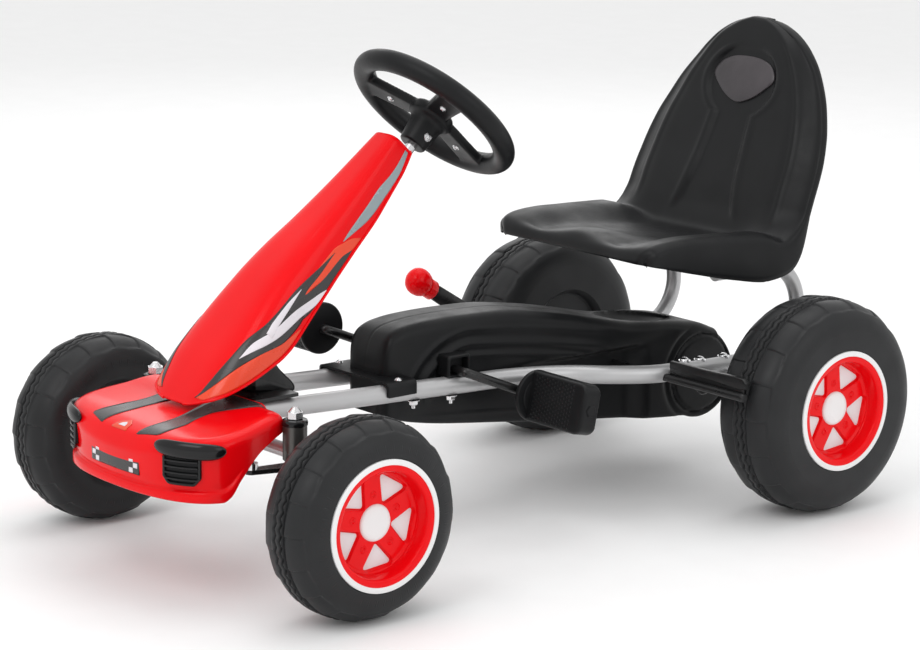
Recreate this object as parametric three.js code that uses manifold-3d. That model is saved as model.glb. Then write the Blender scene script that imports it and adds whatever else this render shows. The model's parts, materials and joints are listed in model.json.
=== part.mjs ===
// A child's pedal go kart, in millimetres. The front points to -Y, the kart's left to +X, the floor is z = 0.
// The pedals turn a cranked axle, a chain inside the case drives the rear axle, and the steering column
// turns two kingpins through tie rods. A hand lever tilts a cross shaft that presses on both rear tyres.
import * as THREE from 'three';
import { mergeVertices } from 'three/addons/utils/BufferGeometryUtils.js';
import Module from 'manifold-3d';

const wasm = await Module();
wasm.setup();

// ---- driving dimensions ----
const GAP = 0.3; // between pieces that touch
const WHEELBASE = 697;
const FRONT_Y = -WHEELBASE / 2;
const REAR_Y = WHEELBASE / 2;
const FRONT_WHEEL = { radius: 111, width: 87, x: 248, axle: 6 };
const REAR_WHEEL = { radius: 130, width: 100, x: 246, axle: 8 };
const SHOULDER = 34; // radius of a tyre's round shoulders
const WALL = 3; // moulded shells
const RIM_RADIUS = 72.8;

const MAIN_TUBE = { radius: 11, bore: 9.6, x: 51, z0: 172, slope: -0.0432, front: -356, end: 246 };
const REAR_TUBE = { radius: 9.5, bore: 8.2, x: 110.6 };
const HAIRPIN = { y: 394, z: 212.7, radius: 58.9, front: 306 }; // the rear tube's turn under the seat
const BEAM = { y: -341, z: 154, radius: 8 };
const KINGPIN = { x: 133, radius: 6, sleeve: 13.5, bottom: 150, top: 196 };

const WHEEL_CENTRE = new THREE.Vector3(0, -47, 488); // of the steering wheel
const COLUMN_TILT = THREE.MathUtils.degToRad(46.5); // above the horizontal
const STEERING_RIM = { radius: 95.6, section: 13 };
const PITMAN = 35; // distance of the tie-rod pins from the column's axis
const KNUCKLE_ARM = 50; // distance of the tie-rod pins in front of the kingpins

const CRANK = { y: -52, z: 192, radius: 94, rod: 5.5, angle: THREE.MathUtils.degToRad(-22.3) };
const PEDAL = { inner: 90.5, cheek: 6.5, length: 99.5, depth: 25, height: 60, disc: 31, tilt: -12 };
const CHAIN = { pitch: 12.7, crankTeeth: 20, rearTeeth: 15, half: 3.5, width: 6 };
const pitchRadius = (teeth) => CHAIN.pitch / 2 / Math.sin(Math.PI / teeth);
const BRAKE = { y: 210, z: 160, shaft: 5, leverX: 185, knobY: 86, knobZ: 238.5 };

const NOSE_FRONT = -497.5;
const SEAT_BACK = 497.5;

// ---- materials ----
const finish = (color, roughness, metalness = 0) => ({ color, roughness, metalness });
const SILVER = finish(0xb9bbbd, 0.32, 0.9);
const ZINC = finish(0xd0d2d4, 0.28, 1);
const BLACK_STEEL = finish(0x15161a, 0.4, 0.3);
const BLACK_PLASTIC = finish(0x1b1c1f, 0.45);
const TYRE_PLASTIC = finish(0x232427, 0.6);
const RED_GLOSS = finish(0xe60b16, 0.22);
const WHITE = finish(0xeeeeee, 0.35);

// ---- solids ----
const vec = (x, y, z) => new THREE.Vector3(x, y, z);
const X_AXIS = vec(1, 0, 0);
const Y_AXIS = vec(0, 1, 0);

// A geometry as a manifold solid, with its faces turned outwards.
function solid(geometry) {
  const plain = new THREE.BufferGeometry();
  plain.setAttribute('position', geometry.getAttribute('position'));
  plain.setIndex(geometry.index);
  const merged = mergeVertices(plain, 1e-4);
  const corners = merged.index.array;
  const make = (flip) => {
    const triangles = [];
    for (let i = 0; i < corners.length; i += 3) {
      const [a, b, c] = [corners[i], corners[i + 1], corners[i + 2]];
      if (a === b || b === c || c === a) continue;
      triangles.push(...(flip ? [a, c, b] : [a, b, c]));
    }
    return new wasm.Manifold(new wasm.Mesh({
      numProp: 3,
      vertProperties: new Float32Array(merged.attributes.position.array),
      triVerts: new Uint32Array(triangles),
    }));
  };
  const made = make(false);
  return made.volume() < 0 ? make(true) : made;
}

function join(first, ...rest) {
  return rest.reduce((sum, next) => sum.add(next), first);
}

function cut(first, ...rest) {
  return rest.reduce((left, next) => left.subtract(next), first);
}

// The geometry of a solid, with flat-shaded faces.
function geometryOf(made) {
  const { vertProperties, triVerts } = made.getMesh();
  const indexed = new THREE.BufferGeometry();
  indexed.setAttribute('position', new THREE.BufferAttribute(new Float32Array(vertProperties), 3));
  indexed.setIndex(new THREE.BufferAttribute(new Uint32Array(triVerts), 1));
  const geometry = indexed.toNonIndexed();
  geometry.computeVertexNormals();
  return geometry;
}

const box = (x0, x1, y0, y1, z0, z1) =>
  solid(new THREE.BoxGeometry(x1 - x0, y1 - y0, z1 - z0)
    .translate((x0 + x1) / 2, (y0 + y1) / 2, (z0 + z1) / 2));

// A straight round bar from a to b, which may taper.
function rod(a, b, radius, sides = 12, endRadius = radius) {
  const along = b.clone().sub(a);
  const geometry = new THREE.CylinderGeometry(endRadius, radius, along.length(), sides);
  geometry.translate(0, along.length() / 2, 0);
  geometry.applyQuaternion(new THREE.Quaternion().setFromUnitVectors(Y_AXIS, along.normalize()));
  return solid(geometry.translate(a.x, a.y, a.z));
}

const barX = (x0, x1, y, z, radius, sides = 12) => rod(vec(x0, y, z), vec(x1, y, z), radius, sides);
const barZ = (x, y, z0, z1, radius, sides = 12) => rod(vec(x, y, z0), vec(x, y, z1), radius, sides);

// A round tube along a curve, solid when bore is 0.
function pipe(curve, radius, bore, steps, sides = 10) {
  const ring = (r) => Array.from({ length: sides }, (_, i) => {
    const turn = (2 * Math.PI * i) / sides;
    return new THREE.Vector2(r * Math.cos(turn), r * Math.sin(turn));
  });
  const section = new THREE.Shape(ring(radius));
  if (bore) section.holes.push(new THREE.Path(ring(bore)));
  return solid(new THREE.ExtrudeGeometry(section, { steps, bevelEnabled: false, extrudePath: curve }));
}

// An outline of [y, z] points, extruded from x0 to x1.
function prismX(points, x0, x1) {
  const shape = new THREE.Shape(points.map(([y, z]) => new THREE.Vector2(y, z)));
  const geometry = new THREE.ExtrudeGeometry(shape, { depth: x1 - x0, bevelEnabled: false });
  geometry.applyMatrix4(new THREE.Matrix4().makeBasis(Y_AXIS, vec(0, 0, 1), X_AXIS));
  return solid(geometry.translate(x0, 0, 0));
}

// An outline of [x, y] points, extruded from z0 to z1.
function prismZ(points, z0, z1) {
  const shape = new THREE.Shape(points.map(([x, y]) => new THREE.Vector2(x, y)));
  return solid(new THREE.ExtrudeGeometry(shape, { depth: z1 - z0, bevelEnabled: false }).translate(0, 0, z0));
}

// A profile of [radius, height] points turned about the local X axis, which points away from the kart.
function turned(points, segments = 40) {
  const profile = points.map(([r, h]) => new THREE.Vector2(r, h));
  return solid(new THREE.LatheGeometry(profile, segments).rotateZ(-Math.PI / 2));
}

// A solid between rings of [u, v] points; toSpace places each ring's points, and flat faces close the ends.
function loft(outlines, toSpace) {
  const clockwise = THREE.ShapeUtils.isClockWise(outlines[0].map(([u, v]) => new THREE.Vector2(u, v)));
  const rings = clockwise ? outlines.map((outline) => [...outline].reverse()) : outlines;
  const count = rings[0].length;
  const positions = rings.flatMap((ring, i) => ring.flatMap(([u, v]) => toSpace(i, u, v).toArray()));
  const index = [];
  for (let i = 0; i + 1 < rings.length; i++) {
    for (let j = 0; j < count; j++) {
      const next = (j + 1) % count;
      const [a, b, c, d] = [i * count + j, i * count + next, (i + 1) * count + next, (i + 1) * count + j];
      index.push(a, b, c, a, c, d);
    }
  }
  const cap = (ring, offset, flip) => {
    const contour = ring.map(([u, v]) => new THREE.Vector2(u, v));
    for (const [a, b, c] of THREE.ShapeUtils.triangulateShape(contour, [])) {
      index.push(...(flip ? [a, c, b] : [a, b, c]).map((corner) => corner + offset));
    }
  };
  cap(rings[0], 0, true);
  cap(rings.at(-1), (rings.length - 1) * count, false);
  const geometry = new THREE.BufferGeometry();
  geometry.setAttribute('position', new THREE.BufferAttribute(new Float32Array(positions), 3));
  return solid(geometry.setIndex(index));
}

// Points of a circle's arc from one angle to another, in degrees.
function arc(u, v, radius, from, to, steps) {
  return Array.from({ length: steps + 1 }, (_, i) => {
    const angle = THREE.MathUtils.degToRad(from + ((to - from) * i) / steps);
    return [u + radius * Math.cos(angle), v + radius * Math.sin(angle)];
  });
}

// Straight-line interpolation in a list of [position, value] pairs.
function between(table, position) {
  const i = Math.max(1, table.findIndex(([p]) => p >= position));
  const [p0, v0] = table[i - 1];
  const [p1, v1] = table[i];
  return v0 + ((v1 - v0) * (position - p0)) / (p1 - p0);
}

// An outline moved sideways by a distance, to the right of its direction of travel.
function offset(points, distance) {
  return points.map((point, i) => {
    const before = points[Math.max(i - 1, 0)];
    const after = points[Math.min(i + 1, points.length - 1)];
    const along = new THREE.Vector2(after[0] - before[0], after[1] - before[1]).normalize();
    return [point[0] + along.y * distance, point[1] - along.x * distance];
  });
}

const mirrored = (made) => made.mirror([1, 0, 0]);

// ---- the assembly ----
const kart = new THREE.Group();

function add(name, made, look, parent = kart) {
  const mesh = new THREE.Mesh(geometryOf(made), new THREE.MeshStandardMaterial(look));
  mesh.name = name;
  parent.add(mesh);
  return mesh;
}

// The same piece on both sides: made is the left one.
function addPair(name, made, look) {
  add(`${name}_left`, made, look);
  add(`${name}_right`, mirrored(made), look);
}

// ---- frame ----
const tubeZ = (y) => MAIN_TUBE.z0 + MAIN_TUBE.slope * y;

// The frame rail's centre line on the left: straight at the front, bowed out round the chain case.
const railStraight = [MAIN_TUBE.front, -200, -50, 30].map((y) => vec(MAIN_TUBE.x, y, tubeZ(y)));
const railBow = [[70, 105], [98, 150], [119, 198], [122, 246], [118, 295], [112, 345]]
  .map(([x, y]) => vec(x, y, tubeZ(y)));
const rail = new THREE.CatmullRomCurve3([...railStraight, ...railBow], false, 'centripetal');

// The part of a curve whose points lie between two y values.
function stretch(curve, y0, y1, count) {
  const points = curve.getPoints(400).filter((p) => p.y >= y0 && p.y <= y1);
  const last = points.length - 1;
  const kept = Array.from({ length: count }, (_, i) => points[Math.round((i * last) / (count - 1))]);
  return new THREE.CatmullRomCurve3(kept, false, 'centripetal');
}

function mainTube() {
  const stations = [...railStraight.slice(0, 1), ...railStraight.slice(2), ...railBow.slice(0, 4)];
  const route = new THREE.CatmullRomCurve3(stations, false, 'centripetal');
  const tube = pipe(route, MAIN_TUBE.radius, MAIN_TUBE.bore, 18, 10);
  const beamTop = BEAM.z + BEAM.radius + GAP;
  const foot = box(MAIN_TUBE.x - 9, MAIN_TUBE.x + 9, BEAM.y - 14, BEAM.y + 14, beamTop, tubeZ(BEAM.y) - 9.8);
  const brakeHole = barX(80, 160, BRAKE.y, BRAKE.z, BRAKE.shaft + 0.4);
  return cut(join(tube, foot), brakeHole);
}
addPair('main_tube', mainTube(), SILVER);

function rearTube() {
  const start = stretch(rail, MAIN_TUBE.end + GAP, 330, 4).getPoints(3);
  const turn = arc(HAIRPIN.y, HAIRPIN.z, HAIRPIN.radius, -90, 90, 8).map(([y, z]) => vec(REAR_TUBE.x, y, z));
  const top = HAIRPIN.z + HAIRPIN.radius;
  const seatRun = [365, 335, HAIRPIN.front].map((y) => vec(REAR_TUBE.x, y, top));
  const route = new THREE.CatmullRomCurve3([...start, ...turn, ...seatRun], false, 'centripetal');
  return pipe(route, REAR_TUBE.radius, REAR_TUBE.bore, 22, 8);
}
addPair('rear_tube', rearTube(), SILVER);

const sleeveEnd = KINGPIN.x - KINGPIN.sleeve + 2.5;
const sleeveBore = barZ(KINGPIN.x, FRONT_Y, KINGPIN.bottom - 9, KINGPIN.top + 9, KINGPIN.radius + 0.5);
const sleeveSpace = barZ(KINGPIN.x, FRONT_Y, KINGPIN.bottom - 1, KINGPIN.top + 1, KINGPIN.sleeve + GAP, 20);
add('front_beam', cut(barX(-sleeveEnd, sleeveEnd, BEAM.y, BEAM.z, BEAM.radius, 16),
  sleeveSpace, mirrored(sleeveSpace)), SILVER);
addPair('kingpin_sleeve', cut(barZ(KINGPIN.x, FRONT_Y, KINGPIN.bottom, KINGPIN.top, KINGPIN.sleeve, 20),
  sleeveBore), BLACK_STEEL);

// ---- steering column: local z runs up the column, local y down and back ----
const column = new THREE.Group();
column.position.copy(WHEEL_CENTRE);
column.rotation.x = COLUMN_TILT - Math.PI / 2;
column.updateMatrix();
kart.add(column);
const up = (distance) => vec(0, 0, distance).applyMatrix4(column.matrix);

// A solid made in the column's own axes, placed in the kart.
const onColumn = (made) => made.transform(column.matrix.toArray());

const SHAFT = { radius: 6.5, foot: -472, top: -8 };
const COLUMN_TUBE = { radius: 10.5, bore: 7.2, foot: -408, top: -112 };

function columnPlate() {
  const bottom = tubeZ(-350) + MAIN_TUBE.radius + GAP;
  const plate = box(-62, 62, -350, -290, bottom, bottom + 4);
  return cut(plate, rod(up(-450), up(-330), COLUMN_TUBE.radius + GAP, 20));
}
add('column_plate', columnPlate(), BLACK_STEEL);
add('column_tube', cut(rod(up(COLUMN_TUBE.foot), up(COLUMN_TUBE.top), COLUMN_TUBE.radius, 20),
  rod(up(COLUMN_TUBE.foot - 9), up(COLUMN_TUBE.top + 9), COLUMN_TUBE.bore, 16)), SILVER);
add('column_bush', cut(rod(up(COLUMN_TUBE.top + GAP), up(COLUMN_TUBE.top + 9), 11.5, 20),
  rod(up(COLUMN_TUBE.top - 9), up(COLUMN_TUBE.top + 12), SHAFT.radius + 0.1, 24)), BLACK_PLASTIC);

add('steering_shaft', rod(up(SHAFT.foot), up(SHAFT.top), SHAFT.radius, 16), SILVER);

// The drop plate on the shaft's foot carries the two tie-rod pins in front of the column.
function pitman() {
  const plate = join(
    solid(new THREE.CylinderGeometry(11, 11, 4, 20).rotateX(Math.PI / 2)),
    solid(new THREE.BoxGeometry(40, 34, 4).translate(0, -PITMAN + 8, 0)),
  ).translate([0, 0, SHAFT.foot + 4]);
  const bore = solid(new THREE.CylinderGeometry(SHAFT.radius + GAP, SHAFT.radius + GAP, 20, 16)
    .rotateX(Math.PI / 2).translate(0, 0, SHAFT.foot + 4));
  return onColumn(cut(plate, bore));
}
add('pitman_plate', pitman(), BLACK_STEEL);

// ---- steering wheel ----
function steeringWheel() {
  const ring = solid(new THREE.TorusGeometry(STEERING_RIM.radius, STEERING_RIM.section, 8, 32));
  const spoke = (turn) => solid(new THREE.BoxGeometry(28, STEERING_RIM.radius - 8, 10)
    .translate(0, STEERING_RIM.radius / 2, -5).rotateZ(THREE.MathUtils.degToRad(turn)));
  const disc = solid(new THREE.CylinderGeometry(27, 24, 16, 24).rotateX(Math.PI / 2).translate(0, 0, -6));
  const boss = solid(new THREE.CylinderGeometry(20, 16, 38, 20).rotateX(Math.PI / 2).translate(0, 0, -29));
  const bore = solid(new THREE.CylinderGeometry(SHAFT.radius + GAP, SHAFT.radius + GAP, 60, 16)
    .rotateX(Math.PI / 2).translate(0, 0, SHAFT.top + GAP - 30));
  return onColumn(cut(join(ring, ...[0, 120, 240].map(spoke), disc, boss), bore));
}
add('steering_wheel', steeringWheel(), BLACK_PLASTIC);

// ---- column cover: s runs down the column, n out to its front ----
const onCover = (s, x, n) => vec(x, -n, -s).applyMatrix4(column.matrix);
const COVER_WIDTH = [[40, 17], [64, 20], [145, 29], [203, 37], [247, 44], [295, 51], [345, 59], [400, 65],
  [430, 64], [446, 60], [456, 52], [461, 44], [470, 30]];
const COVER_RIDGE = [[40, 39], [64, 42], [145, 52], [203, 61], [247, 69], [295, 76], [345, 81], [400, 80],
  [430, 76], [461, 70], [470, 69]];
const COVER_STATIONS = [64, 95, 145, 203, 247, 295, 345, 400, 430, 446, 456, 461];
const COVER_EDGE = [[60, 10], [95, 6], [145, 6], [203, 11], [247, 15], [295, 17], [340, 20], [358, 28],
  [375, 40], [400, 52], [425, 60], [450, 66], [480, 72]];

function coverShell(inset, stations) {
  const rings = stations.map((s) => {
    const width = Math.max(between(COVER_WIDTH, s) - inset, 1);
    const ridge = between(COVER_RIDGE, s) - inset;
    const spring = ridge - 1.05 * Math.min(width, 45); // where the arch meets the straight sides
    const arch = arc(0, 0, 1, 0, 180, 12).map(([c, h]) =>
      [width * Math.sign(c) * Math.abs(c) ** 0.5, spring + (ridge - spring) * h ** 0.5]);
    return [...arch, [-width, -40], [width, -40]];
  });
  return loft(rings, (i, x, n) => onCover(stations[i], x, n));
}

function columnCover() {
  const inner = coverShell(WALL, [45, ...COVER_STATIONS.slice(1, -1), 457.5]);
  const shell = cut(coverShell(0, COVER_STATIONS), inner);
  const side = [...COVER_EDGE, [480, 110], [60, 110]].map(([s, n]) => {
    const p = onCover(s, 0, n);
    return [p.y, p.z];
  });
  return shell.intersect(prismX(side, -80, 80));
}
add('column_cover', columnCover(), RED_GLOSS);

// ---- nose fairing ----
const NOSE_SIDE = [[0, NOSE_FRONT], [36, NOSE_FRONT], [58, NOSE_FRONT + 3], [80, NOSE_FRONT + 8],
  [108, NOSE_FRONT + 19],
  [127, NOSE_FRONT + 35], [137, NOSE_FRONT + 55], [137, NOSE_FRONT + 78], [131, NOSE_FRONT + 105],
  [126, NOSE_FRONT + 130], [122, NOSE_FRONT + 150]];
const NOSE_TOP = [[-360, 200], [-400, 194], [-440, 189], [-470, 186], [-486, 182], [-495, 175], [-503, 166]];

function noseBlock(grow) {
  const side = offset(NOSE_SIDE, grow);
  side[0] = [0, NOSE_FRONT - grow];
  const half = [...side, [122 + grow, -349], [82, -349], [76, -372], [0, -372]];
  const plan = prismZ([...half, ...half.slice(1, -1).reverse().map(([x, y]) => [-x, y])], 90, 230);
  const top = NOSE_TOP.map(([y, z]) => [y, z + grow]);
  const arch = [[-520, 118], [-444, 118], [-436, 124], [-424, 142], [-408, 157], [-388, 171], [-365, 180],
    [-340, 184]];
  const above = [[-340, 205 + grow], ...top, [-520, 158]];
  const profile = grow < 0 ? [[-520, 80], [-330, 80], ...above] : [...arch, ...above];
  return plan.intersect(prismX(profile, -160, 160));
}

function noseFairing() {
  const rearOpening = box(-160, 160, -375, -340, 80, 186);
  const sleeve = barZ(KINGPIN.x, FRONT_Y, 100, 250, KINGPIN.sleeve + 1.5, 20);
  return cut(noseBlock(0), noseBlock(-WALL), rearOpening, sleeve, mirrored(sleeve));
}
add('nose_fairing', noseFairing(), RED_GLOSS);

// A brow over a louvred vent, on the fairing's front corner.
function lampBrow() {
  const skin = noseBlock(0.4);
  const brow = cut(noseBlock(6), skin).intersect(box(72, 160, -520, -438, 167, 183));
  const vent = cut(noseBlock(3), skin).intersect(box(84, 124, -520, -438, 138, 167.5));
  return join(brow, vent);
}
addPair('lamp_brow', lampBrow(), BLACK_PLASTIC);

// The dark tail that closes the gap behind the column cover's foot.
function footShroud() {
  const side = [[-330, 203.6], [-282, 198], [-273, 199], [-271.5, 205], [-291, 223], [-306, 238],
    [-330, 238]];
  const outer = prismX(side, -36, 36);
  const within = [[-345, 190], [-276, 190], [-276, 203], [-293, 219], [-308, 234], [-345, 234]];
  const inner = prismX(within, -33, 33);
  const plateSpace = box(-63, 63, -351, -289, 190, 203);
  return cut(outer, inner, plateSpace, rod(up(-450), up(-250), COLUMN_TUBE.radius + 1, 20));
}
add('foot_shroud', footShroud(), BLACK_PLASTIC);

// ---- chain case: two moulded halves round the chain ----
const DRUM = { y: REAR_Y, z: REAR_WHEEL.radius, radius: 57 };
const CASE_WIDTH = [[-190, 33], [-152, 35], [-120, 37.5], [40, 38], [120, 46], [160, 50], [460, 50]];
const CASE_TOP = [[-153, 200], [-149, 230], [-140, 243], [-122, 248], [-50, 251], [20, 249], [110, 236],
  [180, 221],
  [240, 208], [305, 201], [350, 193], [378, 182], [392, 168]];
const CASE_BOTTOM = [[-182, 160], [-107, 134], [37, 112], [183, 93], [300, 80], [345, 76]];
const TRAY_TOP = 186;

// A section of the case across y: flat sides between two heights, with rounded top corners.
function caseSection(width, bottom, top, shoulder) {
  const corner = arc(width - shoulder, top - shoulder, shoulder, 0, 90, 3);
  return [[-width, bottom], [width, bottom], ...corner, ...corner.map(([x, z]) => [-x, z]).reverse()];
}

function caseBody(inset) {
  const lengthwise = (y, nearFront) => y + (nearFront ? inset : 0);
  const upper = CASE_TOP.map(([y, top]) =>
    caseSection(between(CASE_WIDTH, y) - inset, 150, top - inset, 12 - inset));
  const tray = CASE_BOTTOM.map(([y, bottom]) =>
    caseSection(Math.min(between(CASE_WIDTH, y), 38) - inset, bottom + inset, TRAY_TOP - inset, 2));
  const scoopSize = [37 + inset, 62 + inset, 15 + inset];
  const scoop = solid(new THREE.SphereGeometry(1, 14, 8)).scale(scoopSize).translate([0, 278, 208]);
  return join(
    cut(loft(upper, (i, x, z) => vec(x, lengthwise(CASE_TOP[i][0], i < 3), z)), scoop),
    loft(tray, (i, x, z) => vec(x, lengthwise(CASE_BOTTOM[i][0], i < 1), z)),
    barX(inset - 50, 50 - inset, DRUM.y, DRUM.z, DRUM.radius - inset, 24),
    box(inset - 50, 50 - inset, 250 + inset, 345, 90 + inset, 160));
}

// Front flange: it lies on both rails and folds down over their outer sides.
function caseFlange() {
  const y = [-166, -134];
  const rest = tubeZ(y[0]) + MAIN_TUBE.radius + GAP;
  const outer = MAIN_TUBE.x + MAIN_TUBE.radius + 0.6;
  const flat = box(0, outer + 2.5, ...y, rest, rest + 3.5);
  return join(flat, box(outer, outer + 2.5, ...y, rest - 14, rest + 1));
}

function caseHalf() {
  const hollow = caseBody(WALL);
  const flange = caseFlange().subtract(hollow);
  const holes = [barX(-90, 90, CRANK.y, CRANK.z, 7.5), barX(-90, 90, REAR_Y, DRUM.z, 10),
    barX(-90, 90, BRAKE.y, BRAKE.z, 7)];
  const keep = box(GAP / 2, 120, -400, 500, 0, 400);
  return cut(join(cut(caseBody(0), hollow), flange), ...holes).intersect(keep);
}
addPair('chain_case', caseHalf(), BLACK_PLASTIC);

// ---- crank, pedals and drive ----
const crankEnd = (turn) =>
  vec(0, CRANK.y + CRANK.radius * Math.cos(turn), CRANK.z + CRANK.radius * Math.sin(turn));

// One bent steel rod: the axle, an arm each side and the two pedal spindles.
function crankAxle() {
  const axle = barX(-70, 70, CRANK.y, CRANK.z, CRANK.rod);
  const arms = [1, -1].map((side) => {
    const end = crankEnd(side > 0 ? CRANK.angle : CRANK.angle + Math.PI);
    const from = vec(side * 70, CRANK.y, CRANK.z);
    const to = vec(side * 84, end.y, end.z);
    const elbow = (at) => solid(new THREE.SphereGeometry(CRANK.rod, 8, 4).translate(at.x, at.y, at.z));
    const spindle = barX(...[side * 84, side * (PEDAL.inner + PEDAL.length - 6)].sort((a, b) => a - b),
      end.y, end.z, CRANK.rod);
    return join(rod(from, to, CRANK.rod), spindle, elbow(from), elbow(to));
  });
  return join(axle, ...arms);
}
add('crank_axle', crankAxle(), BLACK_STEEL);

function crankBearing() {
  const block = box(MAIN_TUBE.x - 12, MAIN_TUBE.x + 6, CRANK.y - 17, CRANK.y + 17,
    CRANK.z - 9, CRANK.z + 19);
  const tubeSpace = rod(vec(MAIN_TUBE.x, -200, tubeZ(-200)), vec(MAIN_TUBE.x, 30, tubeZ(30)),
    MAIN_TUBE.radius + GAP, 24);
  return cut(block, tubeSpace, barX(30, 90, CRANK.y, CRANK.z, CRANK.rod + 0.15, 32));
}
addPair('crank_bearing', crankBearing(), BLACK_PLASTIC);

// A foot block with a round cheek at its inner end.
function pedal() {
  const [d, h] = [PEDAL.depth / 2, PEDAL.height / 2];
  const block = prismX([[-d + 4, -h], [d - 4, -h], [d, -h + 4], [d, h - 4], [d - 4, h], [-d + 4, h],
    [-d, h - 4], [-d, -h + 4]], PEDAL.cheek - 1, PEDAL.length);
  const cheek = barX(0, PEDAL.cheek, 0, 0, PEDAL.disc, 24);
  const bore = barX(-5, PEDAL.length + 5, 0, 0, CRANK.rod + 0.35, 16);
  return cut(join(block, cheek), bore).rotate([PEDAL.tilt, 0, 0]);
}

function placePedal(side) {
  const end = crankEnd(side > 0 ? CRANK.angle : CRANK.angle + Math.PI);
  const turnedRound = side > 0 ? pedal() : pedal().rotate([0, 0, 180]);
  return turnedRound.translate([side * PEDAL.inner, end.y, end.z]);
}
add('pedal_left', placePedal(1), BLACK_PLASTIC);
add('pedal_right', placePedal(-1), BLACK_PLASTIC);

// A toothed disc inside the chain loop.
function sprocket(y, z, teeth, bore) {
  const tip = pitchRadius(teeth) - CHAIN.half - GAP;
  const outline = Array.from({ length: teeth * 2 }, (_, i) => {
    const turn = (Math.PI * i) / teeth;
    const r = i % 2 ? tip - 4 : tip;
    return [y + r * Math.cos(turn), z + r * Math.sin(turn)];
  });
  return cut(prismX(outline, -1.5, 1.5), barX(-9, 9, y, z, bore + GAP));
}
add('crank_sprocket', sprocket(CRANK.y, CRANK.z, CHAIN.crankTeeth, CRANK.rod), ZINC);
add('rear_sprocket', sprocket(REAR_Y, REAR_WHEEL.radius, CHAIN.rearTeeth, REAR_WHEEL.axle), ZINC);

// The chain as one closed band round both sprockets.
function chainLoop() {
  const [front, rear] = [pitchRadius(CHAIN.crankTeeth), pitchRadius(CHAIN.rearTeeth)];
  const span = vec(REAR_Y - CRANK.y, REAR_WHEEL.radius - CRANK.z, 0);
  const tilt = THREE.MathUtils.radToDeg(Math.atan2(span.y, span.x));
  const lean = THREE.MathUtils.radToDeg(Math.acos((front - rear) / span.length()));
  const band = (grow) => prismX([
    ...arc(CRANK.y, CRANK.z, front + grow, tilt + lean, tilt + 360 - lean, 18),
    ...arc(REAR_Y, REAR_WHEEL.radius, rear + grow, tilt - lean, tilt + lean, 14),
  ], -CHAIN.width / 2 - (grow < 0 ? 5 : 0), CHAIN.width / 2 + (grow < 0 ? 5 : 0));
  return cut(band(CHAIN.half), band(-CHAIN.half));
}
add('drive_chain', chainLoop(), ZINC);

// ---- rear axle ----
const axleEnd = REAR_WHEEL.x + REAR_WHEEL.width / 2 - 20;
add('rear_axle', barX(-axleEnd, axleEnd, REAR_Y, REAR_WHEEL.radius, REAR_WHEEL.axle), ZINC);

function rearBearing() {
  const top = HAIRPIN.z - HAIRPIN.radius - REAR_TUBE.radius - GAP;
  const x = [REAR_TUBE.x - 9, REAR_TUBE.x + 9];
  const housing = barX(...x, REAR_Y, REAR_WHEEL.radius, 13.5, 24);
  const saddle = box(...x, REAR_Y - 26, REAR_Y + 26, top - 5, top);
  const web = box(...x, REAR_Y - 12, REAR_Y + 12, REAR_WHEEL.radius, top - 1);
  const bore = barX(80, 140, REAR_Y, REAR_WHEEL.radius, REAR_WHEEL.axle + 0.15, 32);
  return cut(join(housing, saddle, web), bore);
}
addPair('rear_bearing', rearBearing(), BLACK_PLASTIC);

// ---- wheels: profiles of [radius, distance out from the wheel's middle] ----
function tyre({ radius, width, axle }) {
  const w = width / 2;
  const crown = (inset, steps) => [
    ...arc(radius - SHOULDER, w - SHOULDER, SHOULDER - inset, 90, 0, steps),
    ...arc(radius - SHOULDER, SHOULDER - w, SHOULDER - inset, 0, -90, steps),
  ];
  const disc = [[58, 7 - w], [54, 15 - w], [axle + 0.5, 16 - w]];
  const outer = [[RIM_RADIUS + 0.8, w], ...crown(0, 3), ...disc];
  const inner = [[axle + 0.5, 19 - w], [53.5, 18.4 - w], [60, 10.4 - w], ...crown(WALL, 2).reverse(),
    [RIM_RADIUS + 0.8, w - WALL]];
  return turned([...outer, ...inner, outer[0]], 32);
}

function rim({ width, axle }) {
  const w = width / 2;
  const bore = axle + 0.5;
  const dish = [[bore, w - 34], [24, w - 34], [24, w - 29], [RIM_RADIUS - 5, w - 29], [RIM_RADIUS, w - 6],
    [RIM_RADIUS, w + 2.5], [68, w + 2.5], [64, w - 26], [bore, w - 26]];
  const hub = barX(w - 28, w - 20, 0, 0, 22, 16).subtract(barX(w - 40, w, 0, 0, bore, 16));
  const spoke = (turn) => prismX([[-8, 21.4], [8, 21.4], [13, 66], [-13, 66]], w - 27, w - 11)
    .rotate([turn, 0, 0]);
  return join(turned([...dish, dish[0]], 24), hub, ...[0, 72, 144, 216, 288].map(spoke));
}

function hubCap({ width }) {
  const w = width / 2;
  return turned([[0, w - 19.6], [20.5, w - 19.6], [20.5, w - 13], [14, w - 10], [0, w - 9]], 24);
}

for (const [end, wheel, y] of [['front', FRONT_WHEEL, FRONT_Y], ['rear', REAR_WHEEL, REAR_Y]]) {
  const at = (made) => made.translate([wheel.x, y, wheel.radius]);
  addPair(`${end}_tyre`, at(tyre(wheel)), TYRE_PLASTIC);
  addPair(`${end}_rim`, at(rim(wheel)), RED_GLOSS);
  addPair(`${end}_hub_cap`, at(hubCap(wheel)), WHITE);
}

// ---- front knuckles ----
function stubAxle() {
  const foot = vec(KINGPIN.x, FRONT_Y, FRONT_WHEEL.radius);
  const end = FRONT_WHEEL.x + FRONT_WHEEL.width / 2 - 20;
  return join(barZ(KINGPIN.x, FRONT_Y, foot.z, KINGPIN.top + 8, KINGPIN.radius),
    barX(KINGPIN.x, end, FRONT_Y, foot.z, FRONT_WHEEL.axle),
    solid(new THREE.SphereGeometry(KINGPIN.radius, 16, 8).translate(foot.x, foot.y, foot.z)));
}
addPair('stub_axle', stubAxle(), ZINC);

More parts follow.
